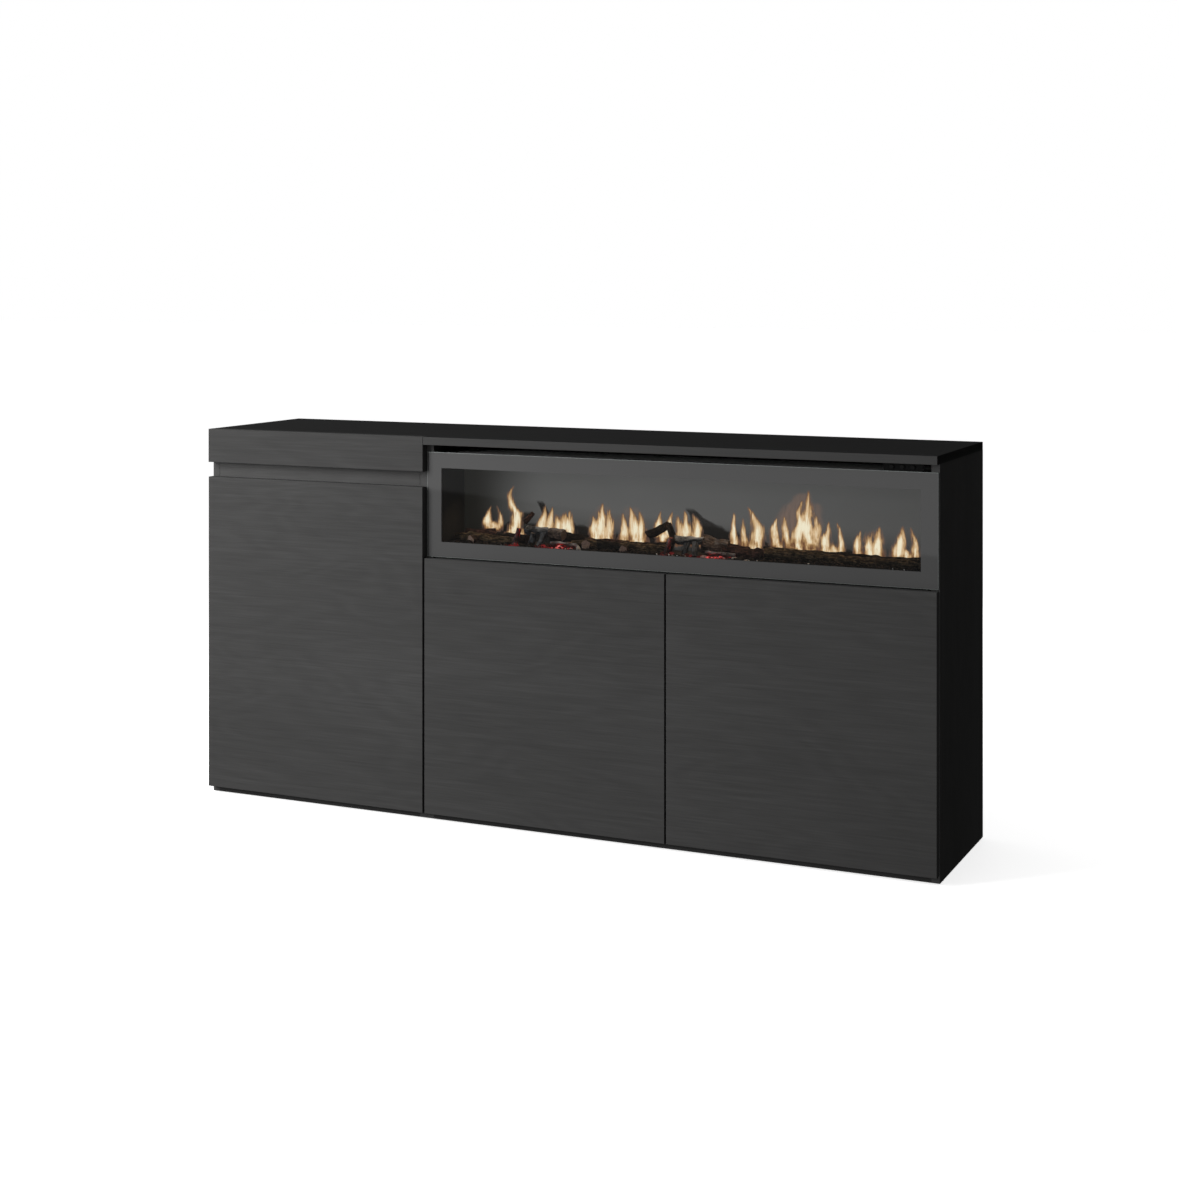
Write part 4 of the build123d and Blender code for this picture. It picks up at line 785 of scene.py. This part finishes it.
# ---------------------------------------------------------------- flames on the screen
# each flame: its tongues, as points from the base to the tip (x, z in mm), widths there (mm), strength
FLAMES = {
    "a": (
        (((-179, 586), (-184, 602), (-183, 618), (-177, 638)), (34, 28, 13, 2), 1.0),
        (((-162, 586), (-155, 602), (-155, 618), (-163, 637)), (24, 17, 10, 2), 0.75),
        (((-170, 586), (-170, 598), (-169, 608)), (34, 22, 4), 1.0),
    ),
    "b": (
        (((-126, 572), (-119, 600), (-117, 622), (-130, 648), (-134, 662), (-124, 680)),
         (34, 31, 24, 15, 11, 2), 1.0),
        (((-112, 570), (-106, 582), (-106, 598)), (34, 22, 4), 0.8),
        (((-143, 570), (-135, 582), (-124, 598)), (34, 24, 5), 0.85),
    ),
    "c": (
        (((-60, 590), (-59, 606), (-55, 622), (-52, 644)), (26, 22, 13, 2), 1.0),
        (((-42, 590), (-41, 606), (-38, 624), (-35, 643)), (26, 20, 12, 2), 1.0),
        (((-24, 588), (-22, 604), (-24, 618), (-25, 628)), (26, 22, 15, 4), 0.7),
        (((-8, 582), (-8, 600), (-7, 616), (-8, 630)), (26, 24, 20, 8), 0.8),
        (((10, 572), (4, 592), (3, 612), (4, 636)), (28, 24, 22, 4), 1.0),
        (((-12, 604), (-8, 618), (0, 633)), (30, 30, 20), 0.42),
    ),
    "d": (
        (((60, 572), (59, 594), (59, 612), (56, 630)), (26, 26, 18, 3), 0.9),
        (((76, 572), (75, 598), (75, 624), (77, 656)), (44, 40, 24, 2), 1.0),
        (((92, 574), (93, 600), (94, 622), (91, 644)), (26, 24, 18, 3), 0.8),
    ),
    "e": (
        (((116, 572), (120, 588), (124, 604)), (24, 18, 5), 0.8),
        (((130, 574), (126, 598), (125, 618), (122, 638)), (30, 24, 14, 2), 0.85),
        (((150, 572), (149, 600), (145, 624), (138, 651)), (36, 31, 20, 2), 1.0),
        (((164, 572), (164, 600), (163, 622), (156, 645)), (26, 22, 15, 2), 0.85),
    ),
    "f": (
        (((198, 592), (199, 610), (202, 628), (206, 646)), (22, 17, 10, 2), 0.9),
        (((218, 590), (221, 614), (226, 632), (231, 645)), (20, 15, 9, 2), 0.9),
        (((208, 582), (209, 592), (214, 606)), (34, 24, 5), 1.0),
    ),
    "g": (
        (((246, 578), (247, 602), (246, 622), (242, 638)), (28, 24, 17, 3), 0.75),
        (((262, 578), (261, 604), (260, 626), (256, 648)), (26, 22, 14, 2), 0.9),
        (((280, 578), (283, 604), (282, 624), (276, 642)), (28, 24, 17, 3), 1.0),
        (((266, 596), (266, 612), (266, 630)), (36, 34, 24), 0.42),
    ),
    "h": (
        (((362, 578), (361, 602), (360, 624), (361, 648)), (20, 15, 10, 2), 1.0),
        (((384, 577), (383, 598), (381, 618), (380, 640)), (26, 18, 11, 2), 0.8),
        (((404, 574), (410, 598), (411, 620), (404, 641), (390, 661)), (38, 34, 27, 16, 2), 1.0),
        (((378, 578), (376, 592), (376, 606)), (40, 32, 16), 0.40),
    ),
    "i": (
        (((452, 578), (446, 602), (444, 622), (451, 645)), (32, 26, 16, 2), 0.85),
        (((476, 578), (472, 600), (468, 622), (465, 648)), (30, 22, 14, 2), 0.85),
        (((492, 576), (492, 606), (498, 632), (495, 656), (502, 681)), (28, 24, 20, 13, 2), 1.0),
        (((512, 576), (512, 608), (509, 638), (515, 666), (514, 698)), (38, 34, 26, 18, 3), 1.0),
        (((526, 578), (530, 606), (531, 632), (526, 660)), (22, 20, 16, 3), 0.8),
    ),
    "j": (
        (((552, 572), (549, 590), (551, 610), (556, 640)), (38, 32, 21, 2), 1.0),
        (((574, 572), (580, 592), (580, 612), (572, 640)), (28, 19, 12, 2), 0.8),
        (((566, 574), (565, 584), (564, 598)), (44, 28, 6), 0.9),
    ),
    "k": (
        (((618, 574), (613, 592), (614, 608), (618, 628)), (28, 22, 14, 3), 0.95),
        (((636, 574), (634, 594), (636, 608), (640, 620)), (28, 20, 14, 4), 0.95),
        (((654, 572), (652, 594), (654, 614), (656, 637)), (32, 26, 20, 4), 1.0),
        (((632, 604), (638, 616), (646, 630)), (34, 32, 22), 0.42),
    ),
    "l": (
        (((694, 572), (694, 592), (698, 614), (702, 642)), (38, 30, 19, 2), 1.0),
        (((722, 572), (725, 594), (724, 614), (717, 638)), (32, 19, 12, 2), 0.8),
        (((710, 573), (709, 584), (708, 598)), (48, 30, 6), 0.9),
    ),
}
# thin brown smoke round some flames, drawn like the tongues
VEILS = {
    "d": ((((76, 600), (78, 622), (80, 650)), (74, 62, 30), 0.45),),
    "e": ((((142, 600), (144, 622), (142, 650)), (72, 64, 30), 0.45),),
    "i": (
        (((482, 606), (482, 636), (489, 660), (508, 694)), (64, 74, 64, 30), 1.0),
        (((524, 600), (526, 636), (524, 676)), (44, 44, 30), 0.8),
    ),
}
# the dark shapes that the screen mirrors behind the flames, drawn like the tongues
MIRRORED = (
    (((-150, 566), (-148, 584), (-146, 598)), (120, 84, 14), 1.0),
    (((-136, 588), (-118, 604), (-92, 628)), (46, 40, 20), 1.0),
    (((-80, 566), (-78, 588), (-80, 606)), (96, 70, 16), 1.0),
    (((-30, 590), (-44, 614), (-64, 652)), (24, 18, 13), 1.0),
    (((-2, 566), (-4, 590), (-10, 618)), (120, 96, 20), 1.0),
    (((36, 566), (36, 588), (30, 608)), (84, 60, 14), 1.0),
    (((110, 566), (110, 582), (112, 594)), (80, 50, 12), 1.0),
    (((178, 566), (184, 588), (190, 606)), (110, 64, 16), 1.0),
    (((346, 566), (322, 598), (300, 620), (284, 634), (268, 652)),
     (170, 122, 66, 32, 17), 1.0),
    (((424, 566), (416, 584), (412, 600)), (90, 60, 14), 1.0),
    (((590, 566), (592, 580), (592, 590)), (90, 50, 12), 1.0),
)
FLAME_CELL = 1.2  # size of a picture's cells (mm)
FLAME_MARGIN = 13.0  # empty space kept at a flame's sides (mm)
FOOT_RUN, TIP_RUN = 6, 3  # how far a tongue runs on below its base and above its tip (mm)
FAINTEST = 0.004  # a cell with less than this in all its layers is left out


def smooth(value, low, high):
    """A soft step from 0 at low to 1 at high."""
    t = max(0.0, min(1.0, (value - low) / (high - low)))
    return t * t * (3 - 2 * t)


def along_line(points, share):
    """A value on a smooth line through the given values, by Catmull-Rom."""
    last = len(points) - 1
    at = min(share * last, last - 1e-6)
    k = int(at)
    t = at - k
    p0, p1, p2, p3 = (points[max(0, min(last, k + d))] for d in (-1, 0, 1, 2))
    a = 2 * p1
    b = p2 - p0
    c = 2 * p0 - 5 * p1 + 4 * p2 - p3
    d = 3 * p1 - p0 - 3 * p2 + p3
    return 0.5 * (a + b * t + c * t * t + d * t * t * t)


def tongue_profile(points, widths, seed):
    """A tongue's middle and half width at each millimetre of height, from its base to its tip."""
    rows = {}
    steps = 8 * int(points[-1][1] - points[0][1])
    for i in range(steps + 1):
        share = i / steps
        z = along_line([p[1] for p in points], share)
        x = along_line([p[0] for p in points], share)
        x += 1.6 * noise.noise(Vector((z * 0.06, seed, 0.0)))
        rows[round(z)] = (x, max(0.8, along_line(list(widths), share)) / 2)
    return rows


def prepared(shapes, seed):
    """Base height, tip height, profile and strength of each tongue."""
    made = []
    for number, (points, widths, strength) in enumerate(shapes):
        profile = tongue_profile(points, widths, seed + 0.7 * number)
        made.append((points[0][1], points[-1][1], profile, strength))
    return made


def union_of(tongues, x, z, seed, edge_from, edge_to, tip_fade):
    """How deep a point lies in a group of tongues: soft at their edges, full along their middles."""
    total = 0.0
    for number, (base, tip, rows, strength) in enumerate(tongues):
        row = rows.get(round(max(base, min(tip, z))))
        if row is None or z > tip + TIP_RUN or z < base - FOOT_RUN:
            continue
        ragged = 1 + 0.32 * noise.noise(Vector((x * 0.085, z * 0.05, seed + number)))
        reach = abs(x - row[0]) / (row[1] * ragged + 1.2)
        inside = 1 - smooth(reach, edge_from, edge_to)
        share = (z - base) / (tip - base)
        inside *= 1 - tip_fade * smooth(share, 0.45, 1.0)
        inside *= smooth(z, base - FOOT_RUN, base + 4) * smooth(tip + TIP_RUN - z, 0.0, 9.0)
        total += (strength * inside) ** 3
    return min(1.0, total ** (1 / 3))


def picture(name, bounds, depth, layers):
    """A fine flat grid whose vertices carry the given values, kept only where there is something to see."""
    left, right, bottom, top = bounds
    columns, rows = int((right - left) / FLAME_CELL), int((top - bottom) / FLAME_CELL)
    bm = bmesh.new()
    handles = {key: bm.verts.layers.float.new(key) for key in layers}
    grid = []
    for j in range(rows + 1):
        line = []
        for i in range(columns + 1):
            x, z = left + i * FLAME_CELL, bottom + j * FLAME_CELL
            vertex = bm.verts.new((x / 1000, depth, z / 1000))
            for key, value in layers.items():
                vertex[handles[key]] = value(x, z)
            line.append(vertex)
        grid.append(line)
    seen = [handles[key] for key in layers if key != "rise"]
    for lower, upper in zip(grid, grid[1:]):
        for i in range(columns):
            corners = (lower[i], lower[i + 1], upper[i + 1], upper[i])
            if any(v[handle] > FAINTEST for v in corners for handle in seen):
                bm.faces.new(corners)
    bmesh.ops.delete(bm, geom=[v for v in bm.verts if not v.link_faces], context="VERTS")
    return mesh_from(bm, name)


def reach_of(tongues, margin):
    """The box round a group of tongues: left, right, bottom and top."""
    spans = [(x - half, x + half) for _, _, rows, _ in tongues for x, half in rows.values()]
    left, right = min(a for a, _ in spans) - margin, max(b for _, b in spans) + margin
    return left, right, min(t[0] for t in tongues) - FOOT_RUN, max(t[1] for t in tongues) + TIP_RUN + 1


def flame(name, shapes, veils, depth, seed):
    """One flame, with its smoke."""
    tongues, smoke = prepared(shapes, seed), prepared(veils, seed + 40)
    bounds = reach_of(tongues + smoke, FLAME_MARGIN)
    bottom, top = bounds[2], bounds[3]
    return picture(name, bounds, depth, {
        "warmth": lambda x, z: union_of(tongues, x, z, seed, -0.10, 1.36, 0.50),
        "smoke": lambda x, z: union_of(smoke, x, z, seed + 7, 0.45, 1.15, 0.25),
        "rise": lambda x, z: (z - bottom) / (top - bottom),
    })


def flame_pictures():
    """All the flames and the mirrored logs, a hair in front of the screen that they are seen on."""
    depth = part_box("flame_screen")[0].y - 0.0006
    dark = prepared(MIRRORED, 90.0)
    shade = {"shade": lambda x, z: union_of(dark, x, z, 91.0, 0.72, 1.16, 0.0)}
    mirror = picture("mirrored_logs", reach_of(dark, 8.0), depth + 0.0003, shade)
    add_piece("mirrored_logs", mirror, [mirrored_logs("mirrored_logs")])
    material = flame_light("flame_light")
    for order, (letter, shapes) in enumerate(FLAMES.items()):
        place = depth - 0.0001 * (order % 2)
        mesh = flame(f"flame_{letter}", shapes, VEILS.get(letter, ()), place, 3.1 * order)
        add_piece(f"flame_{letter}", mesh, [material])


flame_pictures()


# ---------------------------------------------------------------- stage, light and camera
TO_LIGHT = (-0.74, -0.64, 0.20)
CARD_UP = (0.072, -0.159, 0.985)
CARD_LEVEL, BELOW_LEVEL = 0.56, 0.20


def floor_material():
    """Pale floor, lit a little from within, like a light table."""
    s = Surface("pale_floor")
    cloud = s.noise(s.place, 1.3, 3.0, 0.5)
    fine = s.noise(s.place, 240.0, 3.0, 0.5)
    colour = s.ramp(s.weighted(fine, 0.2, cloud),
                    (0.2, grey(0.80)), (0.8, grey(0.83)))
    return s.finish(Base_Color=colour, Roughness=s.remap(fine, 0.2, 0.8, 0.8, 0.95), Specular_IOR_Level=0.0,
                    Emission_Color=(1.0, 1.0, 1.0, 1.0), Emission_Strength=0.72)


def stage_floor():
    """A wide pale floor, which isn't part of the object."""
    bm = bmesh.new()
    bmesh.ops.create_grid(bm, x_segments=24, y_segments=24, size=40.0)
    mesh = mesh_from(bm, "floor")
    mesh.materials.append(floor_material())
    floor = placed("floor", mesh)
    floor.visible_diffuse = False
    floor.visible_glossy = False


def soft_box(name, place, target, width, height, radiance, colour=(1.0, 1.0, 1.0)):
    """A rectangular lamp that faces a target, with its brightness given as radiance."""
    data = bpy.data.lights.new(name, "AREA")
    data.shape = "RECTANGLE"
    data.size, data.size_y = width, height
    data.energy = radiance * math.pi * width * height
    data.color = colour
    lamp = placed(name, data)
    lamp.location = place
    lamp.rotation_euler = (Vector(target) - Vector(place)).to_track_quat("-Z", "Y").to_euler()
    lamp.visible_camera = False
    return lamp


def studio_world():
    """White all round to the eye, with lighting that fades from the front left to the back right.

    What polished surfaces mirror is that lighting, with a pale card above a slanting edge.
    """
    world = bpy.data.worlds.new("studio")
    bpy.context.scene.world = world
    world.use_nodes = True
    tree = world.node_tree
    background = tree.nodes["Background"]
    background.inputs["Color"].default_value = (1.0, 1.0, 1.0, 1.0)
    direction = tree.nodes.new("ShaderNodeTexCoord").outputs["Generated"]
    ray = tree.nodes.new("ShaderNodeLightPath").outputs

    def toward(axis, low, high, to_low, to_high, kind):
        """A level that changes with how far a direction points along an axis."""
        dot = tree.nodes.new("ShaderNodeVectorMath")
        dot.operation = "DOT_PRODUCT"
        dot.inputs[1].default_value = Vector(axis).normalized()
        tree.links.new(direction, dot.inputs[0])
        level = tree.nodes.new("ShaderNodeMapRange")
        level.interpolation_type = kind
        for key, value in (("From Min", low), ("From Max", high), ("To Min", to_low), ("To Max", to_high)):
            level.inputs[key].default_value = value
        tree.links.new(dot.outputs["Value"], level.inputs["Value"])
        return level.outputs[0]

    def choose(switch, no, yes):
        """One of two levels, by the kind of ray."""
        made = tree.nodes.new("ShaderNodeMix")
        tree.links.new(switch, made.inputs[0])
        for socket, value in ((made.inputs[2], no), (made.inputs[3], yes)):
            if isinstance(value, float):
                socket.default_value = value
            else:
                tree.links.new(value, socket)
        return made.outputs[0]

    lighting = toward(TO_LIGHT, -0.75, 1.0, 0.07, 0.62, "SMOOTHSTEP")
    card = toward(CARD_UP, -0.0012, 0.0012, BELOW_LEVEL, CARD_LEVEL, "SMOOTHSTEP")
    mirrored = tree.nodes.new("ShaderNodeMath")
    mirrored.operation = "MULTIPLY"
    tree.links.new(lighting, mirrored.inputs[0])
    tree.links.new(card, mirrored.inputs[1])
    strength = choose(ray["Is Camera Ray"], choose(ray["Is Glossy Ray"], lighting, mirrored.outputs[0]), 1.0)
    tree.links.new(strength, background.inputs["Strength"])


def studio():
    """The surround, a soft key from the front left and a weak fill behind."""
    studio_world()
    key = soft_box("key", (-1.75, -2.0, 1.62), (-0.2, 0.0, 0.50), 1.2, 2.1, 11.6)
    key.visible_glossy = False
    rear = soft_box("rear_fill", (0.6, 2.8, 1.0), (0.0, 0.18, 0.40), 2.4, 1.2, 2.6)
    rear.visible_glossy = False


EMBER_LAMPS = (-0.12, 0.08, 0.27, 0.46, 0.64)


def fire_glow():
    """Warm lamps low in the firebox, which light the logs from behind the front edge."""
    low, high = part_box("ember_tray")
    for x in EMBER_LAMPS:
        lamp = soft_box(f"ember_lamp_{x:.2f}", (x, low.y + 0.030, high.z + 0.075), (x, low.y + 0.060, high.z),
                        0.16, 0.02, 5.0, (1.0, 0.70, 0.46))
        lamp.visible_glossy = False


def camera():
    """The photograph's view: level, from the right, with the picture shifted down."""
    data = bpy.data.cameras.new("camera")
    data.lens = 60.1
    data.shift_y = -0.2617
    data.clip_end = 200.0
    eye = placed("camera", data)
    eye.location = (1.712, -3.6995, 1.105)
    eye.rotation_euler = (math.radians(90), 0, math.radians(24.54))
    bpy.context.scene.camera = eye


stage_floor()
studio()
fire_glow()
camera()
bpy.context.scene.view_settings.view_transform = "Standard"
